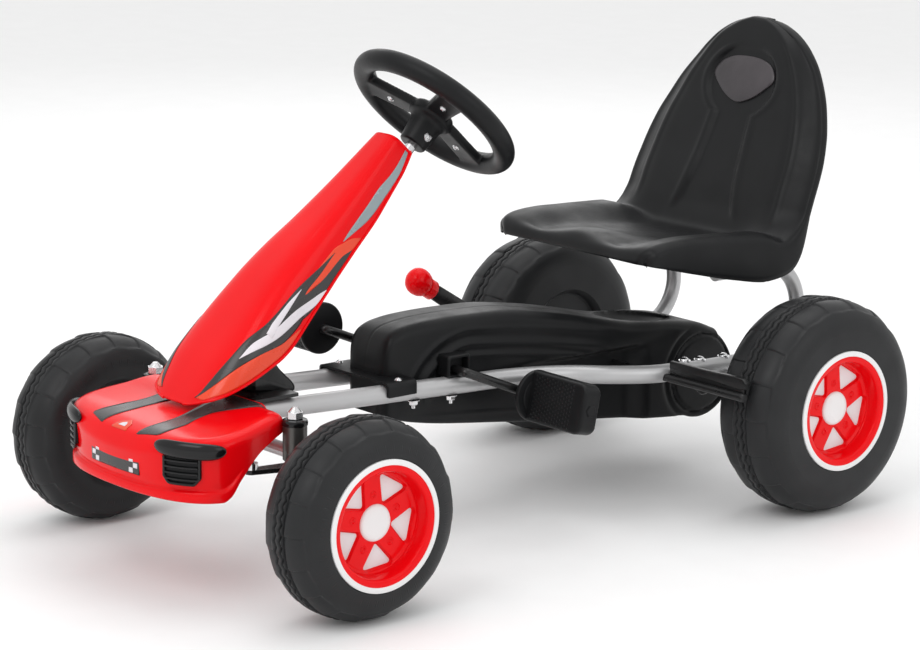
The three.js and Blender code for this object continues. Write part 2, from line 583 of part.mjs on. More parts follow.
const armEnd = vec(KINGPIN.x - 12, FRONT_Y - KNUCKLE_ARM, KINGPIN.bottom - 8);
function steeringArm() {
  const z = [armEnd.z - 2, armEnd.z + 3];
  const plate = join(
    prismZ([[KINGPIN.x - 11, FRONT_Y], [KINGPIN.x + 11, FRONT_Y], [armEnd.x + 7, armEnd.y],
      [armEnd.x - 7, armEnd.y]], ...z),
    barZ(KINGPIN.x, FRONT_Y, ...z, 12), barZ(KINGPIN.x, FRONT_Y, z[0], KINGPIN.bottom - GAP, 9),
    barZ(armEnd.x, armEnd.y, ...z, 7),
    barZ(armEnd.x, armEnd.y, z[0], z[1] + 11, 3));
  return cut(plate, barZ(KINGPIN.x, FRONT_Y, 120, 180, KINGPIN.radius + GAP));
}
addPair('steering_arm', steeringArm(), BLACK_STEEL);

// A domed nut on the kingpin's end.
function kingpinNut() {
  const z = KINGPIN.top + 1;
  const nut = join(barZ(KINGPIN.x, FRONT_Y, z, z + 7, 9.5, 6),
    rod(vec(KINGPIN.x, FRONT_Y, z + 7), vec(KINGPIN.x, FRONT_Y, z + 12), 7.5, 16, 3));
  return cut(nut, barZ(KINGPIN.x, FRONT_Y, z - 4, KINGPIN.top + 8 + GAP, KINGPIN.radius + GAP));
}
addPair('kingpin_nut', kingpinNut(), ZINC);

// ---- tie rods: eye on the steering arm's pin, plain rod towards the pitman plate ----
function tieRod() {
  const z = armEnd.z + 3 + GAP;
  const eye = barZ(armEnd.x, armEnd.y, z, z + 7, 7.5);
  const inner = vec(12, armEnd.y + 2, 160);
  const bar = rod(vec(armEnd.x - 5, armEnd.y, z + 3.5), inner, 3);
  return cut(join(eye, bar), barZ(armEnd.x, armEnd.y, z - 9, z + 20, 3.2, 24));
}
addPair('tie_rod', tieRod(), ZINC);

// ---- brake ----
const paddleInner = 134;
const paddleOuter = REAR_WHEEL.x + 16;
add('brake_shaft', barX(-paddleOuter, paddleOuter, BRAKE.y, BRAKE.z, BRAKE.shaft), BLACK_STEEL);

// A bent plate along the shaft's end, whose outer part faces the tread.
function brakePaddle(inner) {
  const side = [[BRAKE.y + 5, BRAKE.z - 7], [BRAKE.y + 8, BRAKE.z - 7], [BRAKE.y + 12.5, BRAKE.z + 20],
    [BRAKE.y - 3, BRAKE.z + 20], [BRAKE.y - 3, BRAKE.z + 17.5], [BRAKE.y + 8, BRAKE.z + 17.5]];
  return cut(prismX(side, inner, paddleOuter),
    barX(100, 300, BRAKE.y, BRAKE.z, BRAKE.shaft + GAP));
}
add('brake_paddle_left', brakePaddle(paddleInner), BLACK_STEEL);
add('brake_paddle_right', mirrored(brakePaddle(BRAKE.leverX + 4)), BLACK_STEEL);

const leverDirection = vec(0, BRAKE.knobY - BRAKE.y, BRAKE.knobZ - BRAKE.z).normalize();
const leverFoot = vec(-BRAKE.leverX, BRAKE.y, BRAKE.z);
const leverPoint = (distance) => leverFoot.clone().addScaledVector(leverDirection, distance);
const LEVER_LENGTH = vec(0, BRAKE.knobY - BRAKE.y, BRAKE.knobZ - BRAKE.z).length();

function brakeLever() {
  const bar = new THREE.BoxGeometry(5, LEVER_LENGTH - 24, 20);
  bar.translate(0, (LEVER_LENGTH - 24) / 2, 0);
  bar.applyQuaternion(new THREE.Quaternion().setFromUnitVectors(Y_AXIS, leverDirection));
  const foot = leverPoint(0);
  bar.translate(foot.x, foot.y, foot.z);
  const eye = barX(-BRAKE.leverX - 2.5, -BRAKE.leverX + 2.5, BRAKE.y, BRAKE.z, 12, 20);
  return cut(join(solid(bar), eye), barX(-250, -100, BRAKE.y, BRAKE.z, BRAKE.shaft + GAP));
}
add('brake_lever', brakeLever(), BLACK_STEEL);

function brakeKnob() {
  const centre = leverPoint(LEVER_LENGTH);
  const ball = solid(new THREE.SphereGeometry(17, 12, 8).translate(centre.x, centre.y, centre.z));
  const neck = rod(leverPoint(LEVER_LENGTH - 23.5), leverPoint(LEVER_LENGTH - 8), 11, 16, 12);
  return join(ball, neck);
}
add('brake_knob', brakeKnob(), RED_GLOSS);

// ---- seat: one shell, a pan on the rails and a high back, both hollow from behind ----
const RAIL_TOP = HAIRPIN.z + HAIRPIN.radius + REAR_TUBE.radius;
// Across the pan at each y: the sitting face's height in the middle and at the rim, the lower edge and
// the half-width.
const PAN = [[172, 312, 315, 302, 128], [182, 321, 325, 298, 139], [230, 314, 325, 287, 143],
  [300, 305, 322, 271, 147],
  [350, 300, 319, 262, 150], [380, 303, 317, 260, 152], [405, 306, 317, 268, 153]];
// Up the back at each z: the front face's y in the middle, the half-width.
const BACK = [[284, 384, 152], [319, 392, 155], [360, 407, 154], [396, 423, 151], [430, 437, 143],
  [462, 450, 128],
  [485, 458, 115], [505, 465, 102], [525, 471, 84], [542, 476, 62], [553, 480, 38], [559, 483, 16]];

function seatPan(inset) {
  const rings = PAN.map(([, middle, rim, lower, width]) => {
    const w = width - inset;
    const half = [[w, inset ? lower - 60 : lower], [w, rim - 7 - inset], [w - 7, rim - inset],
      [w - 22, rim - 2 - inset], [w - 44, middle - inset]];
    return [...half, ...half.map(([x, z]) => [-x, z]).reverse()];
  });
  const place = (y, i) => y + (i ? 0 : inset) + (inset && i === PAN.length - 1 ? 40 : 0);
  return loft(rings, (i, x, z) => vec(x, place(PAN[i][0], i), z));
}

function seatBack(inset) {
  const rings = BACK.map(([z, front, width]) => {
    const w = Math.max(width - inset, 4);
    const roll = 15 * Math.min(1, width / 100); // the edges are rolled back from the front face
    const rimDepth = 14 - 8 * Math.min(1, width / 100);
    const back = Math.min(front + roll + rimDepth, SEAT_BACK) + (inset ? 60 : 0);
    const half = [[w, back], [w, front + roll + inset], [w * 0.95, front + roll * 0.5 + inset],
      [w * 0.83, front + roll * 0.1 + inset], [w * 0.5, front + inset]];
    return [...half, ...half.map(([x, y]) => [-x, y]).reverse()];
  });
  const height = (i) => BACK[i][0] + (i ? 0 : -3 * inset) - (i === BACK.length - 1 ? inset : 0);
  return loft(rings, (i, x, y) => vec(x, y, height(i)));
}

function seat() {
  const shell = cut(join(seatPan(0), seatBack(0)), seatPan(WALL), seatBack(WALL));
  const feet = [[312, 332], [358, 376]].flatMap(([y0, y1]) => [1, -1].map((side) => {
    const x = side * REAR_TUBE.x;
    return box(x - 12, x + 12, y0, y1, RAIL_TOP + GAP, 300).add(box(x - 12, x + 12, y0, y1, 299, 330)
      .intersect(seatPan(1)));
  }));
  return join(shell, ...feet);
}
add('seat', seat(), BLACK_PLASTIC);

export default kart;
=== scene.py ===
# A child's pedal go kart around its CAD frame. Lengths are millimetres; clean_mesh() scales them to metres.
# The front points to -Y, the kart's left to +X, the floor is z = 0.
import json
import math

import bmesh
import bpy
import numpy as np
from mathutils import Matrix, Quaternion, Vector


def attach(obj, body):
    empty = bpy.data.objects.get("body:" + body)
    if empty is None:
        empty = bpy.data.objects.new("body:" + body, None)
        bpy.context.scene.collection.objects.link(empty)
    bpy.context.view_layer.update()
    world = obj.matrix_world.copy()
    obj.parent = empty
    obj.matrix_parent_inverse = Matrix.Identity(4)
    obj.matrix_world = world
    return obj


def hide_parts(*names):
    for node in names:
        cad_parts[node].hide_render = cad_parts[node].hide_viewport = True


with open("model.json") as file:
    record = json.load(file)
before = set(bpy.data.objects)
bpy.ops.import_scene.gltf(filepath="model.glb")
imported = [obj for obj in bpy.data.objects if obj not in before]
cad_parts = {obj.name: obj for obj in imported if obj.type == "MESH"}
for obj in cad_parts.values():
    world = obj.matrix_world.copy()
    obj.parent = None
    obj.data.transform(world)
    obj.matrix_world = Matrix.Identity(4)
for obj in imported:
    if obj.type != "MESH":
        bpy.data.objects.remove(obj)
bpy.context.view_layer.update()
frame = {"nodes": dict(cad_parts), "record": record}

MM = 0.001
SIDES = (("left", 1), ("right", -1))
X_AXIS = np.array([1.0, 0.0, 0.0])

# ---- driving dimensions, the same as the CAD's ----
FRONT_Y, REAR_Y = -348.5, 348.5
FRONT_WHEEL = dict(radius=111, width=87, x=248, y=FRONT_Y, axle=6)
REAR_WHEEL = dict(radius=130, width=100, x=246, y=REAR_Y, axle=8)
SHOULDER = 34
RIM_RADIUS = 72.8
KINGPIN_X = 133
MAIN_TUBE, SEAT_TUBE = 11, 9.5  # radii
SEAT_RAIL_X = 110.6
WHEEL_CENTRE = np.array([0.0, -47.0, 488.0])
DOWN = np.array([0.0, -0.68835, -0.72537])  # down the steering column
OUT = np.array([0.0, -0.72537, 0.68835])  # square to it, towards the front
CRANK = dict(y=-52, z=192, radius=94, rod=5.5, angle=math.radians(-22.3))
BRAKE = dict(y=210, z=160, lever_x=185, knob=(86, 238.5))


# ---- numbers ----
def step(a, b, x):
    """0 before a, 1 after b, smooth between."""
    t = np.clip((np.asarray(x, float) - a) / (b - a), 0, 1)
    return t * t * (3 - 2 * t)


def ridge(value, at, width, height):
    return height * np.exp(-((value - at) / width) ** 2)


def unit(v):
    return v / np.linalg.norm(v, axis=-1, keepdims=True)


def curve(table):
    """A smooth function through (x, value) pairs that doesn't overshoot them."""
    x, y = np.array(table, float).T
    h = np.diff(x)
    d = np.diff(y) / h
    m = np.zeros_like(y)
    m[0], m[-1] = d[0], d[-1]
    before, after = d[:-1], d[1:]
    same = before * after > 0
    w1, w2 = 2 * h[1:] + h[:-1], h[1:] + 2 * h[:-1]
    m[1:-1][same] = (w1 + w2)[same] / (w1[same] / before[same] + w2[same] / after[same])

    def value(at):
        at = np.clip(np.asarray(at, float), x[0], x[-1])
        i = np.clip(np.searchsorted(x, at) - 1, 0, len(h) - 1)
        t = (at - x[i]) / h[i]
        rise = t * (1 - t) ** 2 * h[i] * m[i] + t * t * (t - 1) * h[i] * m[i + 1]
        return (1 + 2 * t) * (1 - t) ** 2 * y[i] + t * t * (3 - 2 * t) * y[i + 1] + rise

    return value


def lengths(p):
    """How far along a polyline each of its points is."""
    return np.concatenate([[0], np.cumsum(np.linalg.norm(np.diff(p, axis=0), axis=1))])


def interpolate(at, where, columns):
    return np.stack([np.interp(at, where, columns[:, k]) for k in range(columns.shape[1])], 1)


def resample(points, count, closed=False):
    """Points evenly spaced along a polyline."""
    p = np.asarray(points, float)
    if closed:
        p = np.vstack([p, p[:1]])
    length = lengths(p)
    out = interpolate(np.linspace(0, length[-1], count + 1 if closed else count), length, p)
    return out[:-1] if closed else out


def spline(points, per=12, closed=False):
    """A centripetal Catmull-Rom curve through the points."""
    p = np.asarray(points, float)
    p = np.vstack([p[-1:], p, p[:2]] if closed else [2 * p[0] - p[1], p, 2 * p[-1] - p[-2]])

    def blend(t, start, end, a, b):
        return (end - t) / (end - start) * a + (t - start) / (end - start) * b

    out = []
    for near in zip(p, p[1:], p[2:], p[3:]):
        knot = [0.0]
        for a, b in zip(near, near[1:]):
            knot.append(knot[-1] + max(np.linalg.norm(b - a), 1e-6) ** 0.5)
        for t in np.linspace(knot[1], knot[2], per, endpoint=False):
            ab, bc, cd = (blend(t, knot[i], knot[i + 1], near[i], near[i + 1]) for i in range(3))
            left, right = blend(t, knot[0], knot[2], ab, bc), blend(t, knot[1], knot[3], bc, cd)
            out.append(blend(t, knot[1], knot[2], left, right))
    return np.array(out if closed else out + [p[-2]])


def arc(u, v, radius, start, end, steps):
    """Points of a circle's arc, angles in degrees."""
    turn = np.radians(np.linspace(start, end, steps + 1))
    return np.stack([u + radius * np.cos(turn), v + radius * np.sin(turn)], 1)


def rounded(half_y, half_z, radius, steps=6):
    """A rounded rectangle's outline about the origin."""
    corners = zip((0, 90, 180, 270), ((1, 1), (-1, 1), (-1, -1), (1, -1)))
    return np.vstack([arc(sy * (half_y - radius), sz * (half_z - radius), radius, a, a + 90, steps)
                      for a, (sy, sz) in corners])


def both_halves(half):
    """A closed outline from its right half and that half's mirror image."""
    half = np.asarray(half, float)
    return np.vstack([half, (half[1:-1] * [-1, 1])[::-1]])


def at_y(outline, y):
    """An (x, z) outline placed across the kart at y."""
    return np.column_stack([outline[:, 0], np.full(len(outline), y), outline[:, 1]])


def at_x(outline, x):
    """A (y, z) outline placed along the kart at x."""
    return np.column_stack([np.full(len(outline), x), outline])


def turned(angle):
    """A turn about X by an angle in radians."""
    c, s = math.cos(angle), math.sin(angle)
    return np.array([[1, 0, 0], [0, c, -s], [0, s, c]])


def distance_to(outline, points):
    """Distance from each of points to a closed 2-D outline."""
    a = np.asarray(outline, float)
    ab = np.roll(a, -1, axis=0) - a
    best = np.full(len(points), 1e9)
    for origin, along in zip(a, ab):
        rel = points - origin
        t = np.clip(rel @ along / max(along @ along, 1e-9), 0, 1)
        best = np.minimum(best, np.linalg.norm(rel - t[:, None] * along, axis=1))
    return best


def triangle_distance(corners, points):
    """Signed distance to a triangle, negative inside."""
    inside = np.ones(len(points), bool)
    for a, b in zip(corners, np.roll(corners, -1, axis=0)):
        edge = b - a
        inside &= edge[0] * (points[:, 1] - a[1]) - edge[1] * (points[:, 0] - a[0]) > 0
    d = distance_to(corners, points)
    return np.where(inside, -d, d)


# ---- materials ----
def material(name, color, roughness, metallic=0.0, grain=900.0, bump=0.03, bump_size=0.0004, mottle=0.08,
             rough_spread=0.08, scratches=0.0, shine=0.5):
    """Plastic, paint or metal: uneven colour and gloss, a fine grain, and long faint scratches."""
    mat = bpy.data.materials.new(name)
    mat.use_nodes = True
    tree = mat.node_tree
    link = tree.links.new
    shader = tree.nodes["Principled BSDF"]
    shader.inputs["Metallic"].default_value = metallic
    shader.inputs["Specular IOR Level"].default_value = shine

    def new(kind, **values):
        node = tree.nodes.new("ShaderNode" + kind)
        for socket, value in values.items():
            node.inputs[socket.replace("_", " ")].default_value = value
        return node

    where = new("TexCoord")

    def noise(scale, detail, squeeze=(1, 1, 1)):
        mapping = new("Mapping", Scale=squeeze)
        texture = new("TexNoise", Scale=scale, Detail=detail)
        link(where.outputs["Object"], mapping.inputs["Vector"])
        link(mapping.outputs["Vector"], texture.inputs["Vector"])
        return texture.outputs["Fac"]

    def spread(fac, low, high, start=0.3, end=0.7):
        node = new("MapRange", From_Min=start, From_Max=end, To_Min=low, To_Max=high)
        link(fac, node.inputs["Value"])
        return node.outputs["Result"]

    ramp = new("ValToRGB")
    for element, position, factor in zip(ramp.color_ramp.elements, (0.3, 0.7), (1 - mottle, 1 + mottle)):
        element.color = (*[min(c * factor, 1) for c in color], 1)
        element.position = position
    link(noise(14, 4), ramp.inputs["Fac"])
    link(ramp.outputs["Color"], shader.inputs["Base Color"])
    rough = spread(noise(30, 5), max(roughness - rough_spread, 0.02), roughness + rough_spread)
    if scratches:
        total = new("Math")
        total.operation = "ADD"
        link(rough, total.inputs[0])
        link(spread(noise(60, 2, (12, 1, 12)), 0, scratches, 0.6, 0.75), total.inputs[1])
        rough = total.outputs["Value"]
    link(rough, shader.inputs["Roughness"])
    dent = new("Bump", Strength=bump, Distance=bump_size)
    link(noise(grain, 3), dent.inputs["Height"])
    link(dent.outputs["Normal"], shader.inputs["Normal"])
    return mat


LOOKS = {
    "black": material("moulded_black", (0.0068, 0.0071, 0.0078), 0.40, grain=1300, bump=0.12, scratches=0.10,
                      mottle=0.15, shine=0.21),
    "gloss_black": material("gloss_black", (0.006, 0.006, 0.0065), 0.16, grain=80, bump=0.02, bump_size=0.001,
                            shine=0.34),
    "tyre": material("tyre_black", (0.0145, 0.015, 0.016), 0.45, grain=700, bump=0.15, scratches=0.1,
                     mottle=0.18, shine=0.28),
    "red": material("moulded_red", (0.80, 0.0016, 0.0045), 0.17, grain=60, bump=0.02, bump_size=0.001,
                    scratches=0.04, mottle=0.03, rough_spread=0.03, shine=0.17),
    "white": material("moulded_white", (0.80, 0.80, 0.80), 0.30, grain=400, bump=0.03, mottle=0.03),
    "pale": material("window_grey", (0.74, 0.72, 0.73), 0.45, grain=800, bump=0.06, mottle=0.04),
    "silver": material("silver_paint", (0.50, 0.50, 0.505), 0.36, metallic=0.55, grain=1500, bump=0.03,
                       scratches=0.03, mottle=0.02, rough_spread=0.03),
    "zinc": material("zinc_plate", (0.72, 0.72, 0.73), 0.22, metallic=1.0, grain=500, bump=0.05,
                     scratches=0.2),
    "black_steel": material("black_paint", (0.008, 0.008, 0.0085), 0.30, metallic=0.1, grain=300, bump=0.04,
                            scratches=0.12),
    "grey_steel": material("grey_steel", (0.105, 0.10, 0.095), 0.33, metallic=0.75, grain=400, bump=0.04,
                           mottle=0.1),
    "chain": material("chain_steel", (0.25, 0.24, 0.23), 0.38, metallic=1.0, grain=400, bump=0.1, mottle=0.2),
    "decal_grey": material("decal_grey", (0.30, 0.36, 0.38), 0.25, metallic=0.35, grain=300, bump=0.02),
    "decal_orange": material("decal_orange", (0.80, 0.055, 0.012), 0.24, grain=300, bump=0.02),
    "decal_dark": material("decal_dark", (0.030, 0.029, 0.029), 0.26, grain=300, bump=0.02),
    "decal_white": material("decal_white", (0.76, 0.72, 0.76), 0.26, grain=300, bump=0.02),
    "emblem": material("emblem_mauve", (0.040, 0.034, 0.038), 0.34, grain=90, bump=0.25, bump_size=0.002,
                       mottle=0.35),
}

# the looks of each material slot, the CAD nodes' own look first
SLOT_LOOKS = {
    "frame_silver": ["silver"],
    "zinc_steel": ["zinc"],
    "black_steel": ["black_steel", "grey_steel"],
    "black_plastic": ["black", "gloss_black", "emblem"],
    "tyre_plastic": ["tyre"],
    "red_plastic": ["red", "decal_grey", "decal_orange", "decal_dark", "decal_white"],
    "white_plastic": ["white", "pale"],
    "chain_steel": ["chain"],
}


# ---- meshes ----
def smooth_shading(mesh, angle=35):
    mesh.polygons.foreach_set("use_smooth", [True] * len(mesh.polygons))
    mesh.set_sharp_from_angle(angle=math.radians(angle))


def linked(name, data):
    obj = bpy.data.objects.new(name, data)
    bpy.context.scene.collection.objects.link(obj)
    return obj


def clean_mesh(name, points, faces):
    """A mesh from millimetre points, with its doubles merged and its faces turned outwards."""
    mesh = bpy.data.meshes.new(name)
    mesh.from_pydata((np.asarray(points, float) * MM).tolist(), [], [list(f) for f in faces])
    bm = bmesh.new()
    bm.from_mesh(mesh)
    bmesh.ops.remove_doubles(bm, verts=bm.verts, dist=1e-6)
    bmesh.ops.dissolve_degenerate(bm, edges=bm.edges, dist=1e-7)
    bmesh.ops.recalc_face_normals(bm, faces=bm.faces)
    bm.to_mesh(mesh)
    bm.free()
    return mesh


def make(name, points, faces, look, body="frame", slot=None, replaces=(), angle=35, thickness=0.0):
    """A piece that rides on a body; thickness turns an open surface into a shell."""
    mesh = clean_mesh(name, points, faces)
    smooth_shading(mesh, angle)
    obj = linked(name, mesh)
    mesh.materials.append(LOOKS[look])
    if thickness:
        shell = obj.modifiers.new("wall", "SOLIDIFY")
        shell.thickness = thickness * MM
        shell.offset = -1
    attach(obj, body)
    if replaces:
        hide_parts(*replaces)


def moulded(build, name, look, body, voxel, rounds, replaces, angle=60):
    """Overlapping solids joined into one skin, with soft edges where they meet."""
    raw = linked(name + "_raw", clean_mesh(name + "_raw", build.points, build.faces))
    skin = raw.modifiers.new("skin", "REMESH")
    skin.mode = "VOXEL"
    skin.voxel_size = voxel * MM
    soft = raw.modifiers.new("soft", "SMOOTH")
    soft.iterations = rounds
    soft.factor = 0.5
    ready = raw.evaluated_get(bpy.context.evaluated_depsgraph_get()).to_mesh()
    points = np.array([v.co[:] for v in ready.vertices]) / MM
    faces = [list(p.vertices) for p in ready.polygons]
    bpy.data.objects.remove(raw)
    make(name, points, faces, look, body, replaces=replaces, angle=angle)


class Build:
    """Points and faces of a piece that is gathered from several surfaces."""

    def __init__(self):
        self.points = []
        self.faces = []

    def add(self, points, faces):
        start = len(self.points)
        self.points.extend(np.asarray(points, float).reshape(-1, 3).tolist())
        self.faces.extend([start + i for i in f] for f in faces)
        return self

    def join(self, other):
        return self.add(other.points, other.faces)

    def grid(self, points, wrap_rows=False, wrap_cols=False, cap=False):
        p = np.asarray(points, float)
        rows, cols = p.shape[:2]
        faces = []
        for i in range(rows if wrap_rows else rows - 1):
            for j in range(cols if wrap_cols else cols - 1):
                here, above = i * cols, (i + 1) % rows * cols
                k = (j + 1) % cols
                faces.append([here + j, here + k, above + k, above + j])
        if cap:
            faces += [list(range(cols)), [(rows - 1) * cols + j for j in range(cols)]]
        return self.add(p, faces)

    def tube(self, rings, cap=True):
        """Closed outlines joined one to the next."""
        return self.grid(rings, wrap_cols=True, cap=cap)

    def lathe(self, profile, origin=(0, 0, 0), axis=(1, 0, 0), segments=48, closed=False):
        """A profile of (radius, height) turned about an axis through origin."""
        axis = unit(np.array(axis, float))
        side = unit(np.cross(axis, [0, 0, 1] if abs(axis[2]) < 0.9 else [1, 0, 0]))
        turn = np.linspace(0, 2 * np.pi, segments, endpoint=False)
        ring = np.cos(turn)[:, None] * side + np.sin(turn)[:, None] * np.cross(axis, side)
        prof = np.asarray(profile, float)
        p = np.array(origin, float) + prof[:, 0, None, None] * ring + prof[:, 1, None, None] * axis
        return self.grid(p, wrap_rows=closed, wrap_cols=True)

    def sweep(self, path, radius, sides=20, squash=(1, 1)):
        """A round bar along a path; radius may differ along it, squash = (across, up) factors."""
        p = np.asarray(path, float)
        radius = np.broadcast_to(radius, len(p))
        tangent = unit(np.gradient(p, axis=0))
        normal = np.cross(tangent[0], [0, 0, 1] if abs(tangent[0][2]) < 0.9 else [1, 0, 0])
        turn = np.linspace(0, 2 * np.pi, sides, endpoint=False)[:, None]
        across, high = squash
        rings = []
        for at, t, r in zip(p, tangent, radius):
            normal = unit(normal - t * (normal @ t))
            other = np.cross(t, normal)
            rings.append(at + r * (across * np.cos(turn) * normal + high * np.sin(turn) * other))
        return self.tube(rings)

    def block(self, lo, hi, edge=1.0):
        """A box with bevelled edges."""
        bm = bmesh.new()
        bmesh.ops.create_cube(bm, size=1)
        lo, hi = np.array(lo, float), np.array(hi, float)
        for v in bm.verts:
            v.co = Vector((lo + hi) / 2 + np.array(v.co) * (hi - lo))
        bmesh.ops.bevel(bm, geom=bm.edges, offset=edge, segments=3, profile=0.5, affect="EDGES")
        bm.verts.index_update()
        self.add([v.co[:] for v in bm.verts], [[v.index for v in f.verts] for f in bm.faces])
        bm.free()
        return self

    def move(self, change):
        """All points so far through a function of an (n, 3) array."""
        self.points = np.asarray(change(np.array(self.points, float))).tolist()
        return self

    def piece(self, name, look, body="frame", **more):
        make(name, self.points, self.faces, look, body, **more)

    def pair(self, name, look, body="frame", replaces=None, **more):
        """This piece on the kart's left and its mirror image on the right."""
        for side, sign in SIDES:
            make(f"{name}_{side}", np.array(self.points) * [sign, 1, 1], self.faces, look, body.format(side),
                 replaces=[f"{replaces}_{side}"] if replaces else (), **more)


# ---- camera, light and floor ----
def stage():
    scene = bpy.context.scene
    data = bpy.data.cameras.new("camera")
    data.lens, data.sensor_width = 122.06, 36
    data.clip_end = 100
    camera = linked("camera", data)
    look = Vector((-0.7464, 0.6285, -0.2187))
    camera.location = (2.75737, -2.32572, 1.03779)
    camera.rotation_mode = "QUATERNION"
    camera.rotation_quaternion = Quaternion(look, -0.0117) @ look.to_track_quat("-Z", "Y")
    scene.camera = camera
    world = bpy.data.worlds.new("studio")
    world.use_nodes = True
    background = world.node_tree.nodes["Background"]
    background.inputs["Color"].default_value = (1, 1, 1, 1)
    background.inputs["Strength"].default_value = 0.9
    scene.world = world
    scene.view_settings.view_transform = "Standard"
    aim = Vector((0, 0, 0.2))
    for name, at, size, power in (("key", (0.6, -2.2, 2.6), 1.6, 20), ("fill", (3.0, 0.6, 1.8), 1.8, 10),
                                  ("top", (-0.3, 0.6, 3.0), 2.2, 18), ("back", (-2.4, 1.8, 1.8), 1.6, 8)):
        lamp = bpy.data.lights.new(name, "AREA")
        lamp.size, lamp.energy = size, power
        holder = linked(name, lamp)
        holder.location = at
        holder.rotation_euler = (aim - Vector(at)).to_track_quat("-Z", "Y").to_euler()
    reach = 30
    mesh = bpy.data.meshes.new("floor")
    corners = [(-reach, -reach, 0), (reach, -reach, 0), (reach, reach, 0), (-reach, reach, 0)]
    mesh.from_pydata(corners, [], [(0, 1, 2, 3)])
    paper = material("floor_paper", (0.93, 0.93, 0.93), 0.7, grain=200, bump=0.01, mottle=0.008)
    mesh.materials.append(paper)
    linked("floor", mesh)


stage()

# ---- CAD nodes that show as they are ----
for entry in frame["record"]["subparts"]:
    node = frame["nodes"][entry["node"]]
    node.data.materials.clear()
    node.data.materials.append(LOOKS[SLOT_LOOKS[entry["material_slot"]][0]])
    smooth_shading(node.data, 38)


# ---- wheels: built on the left, the wheel's middle at the origin, outwards is +X ----
BLOCKS = 18
TEETH = 54
STEPS = 24  # round the tyre, for each block
SPOKES = 5
WINDOW = np.array([[27.5, 0.0], [47.0, -15.0], [47.0, 15.0]])
WINDOW_ROUND = 3.8
WHEEL_TURN = math.radians(-13)


def tyre(wheel):
    w, radius = wheel["width"] / 2, wheel["radius"]
    knee = radius - SHOULDER
    outer = [[RIM_RADIUS + 0.4, w - 12], [RIM_RADIUS + 0.4, w - 0.6], [RIM_RADIUS + 1.2, w]]
    flat = np.linspace(w - SHOULDER, SHOULDER - w, 28)[1:-1]
    crown = np.vstack([arc(knee, w - SHOULDER, SHOULDER, 90, 0, 34), np.stack([np.full(26, radius), flat], 1),
                       arc(knee, SHOULDER - w, SHOULDER, 0, -90, 26)])
    hole = wheel["axle"] + 0.5
    back = [[knee - 10, 0.8 - w], [64, 2 - w], [60, 6 - w], [57.5, 13 - w], [55, 15 - w], [40, 15.6 - w],
            [hole, 16 - w], [hole, 19 - w], [53.5, 18.4 - w], [60, 10.4 - w]]
    inner = np.vstack([arc(knee, SHOULDER - w, SHOULDER - 3, -90, 0, 5),
                       arc(knee, w - SHOULDER, SHOULDER - 3, 0, 90, 5)])
    profile = np.vstack([outer, crown, back, inner])
    turn = np.linspace(0, 2 * np.pi, BLOCKS * STEPS, endpoint=False)
    # distance along the crown from its middle, positive towards the outer side
    on_crown = slice(len(outer), len(outer) + len(crown))
    along = lengths(crown)
    reach = along[-1] / 2
    u, live = np.zeros((2, len(profile)))
    u[on_crown] = reach - along
    live[on_crown] = 1
    uu, tt = np.meshgrid(u, turn, indexing="ij")
    far = np.abs(uu)
    # blocks on the shoulders, out of step from one side to the other, with slanted faces
    frac = (tt / (2 * np.pi) * BLOCKS + np.where(uu > 0, 0, 0.5)) % 1
    sawtooth = 1.9 * frac * step(1.0, 0.94, frac)
    block_end = reach * 0.60 - 5 * np.abs(frac - 0.5)
    blocks = (2.3 - sawtooth) * step(8, 10, far) * step(block_end + 3, block_end - 1, far)
    sidewall = 0.35 * np.sin(tt * 120) ** 2 * step(reach * 0.74, reach * 0.8, far)
    sidewall = sidewall * step(reach, reach * 0.95, far)
    # two zigzag grooves and a seam round the crown
    zigzag = uu - 3.2 * 2 * np.abs((tt / (2 * np.pi) * TEETH) % 1 - 0.5)
    groove = ridge(zigzag, 3.6, 1.2, 4.6) + ridge(zigzag, -5.2, 1.2, 3.2)
    depth = (blocks + groove + ridge(uu, 9.8, 1.1, 3.4) + sidewall) * live[:, None]
    tangent = np.gradient(profile, axis=0)
    normal = unit(np.stack([tangent[:, 1], -tangent[:, 0]], 1))
    normal *= np.sign(np.sum(normal * (profile - [knee, 0]), axis=1))[:, None]
    r = profile[:, 0, None] - depth * normal[:, 0, None]
    h = profile[:, 1, None] - depth * normal[:, 1, None]
    return np.stack([h, r * np.cos(turn), r * np.sin(turn)], 2)


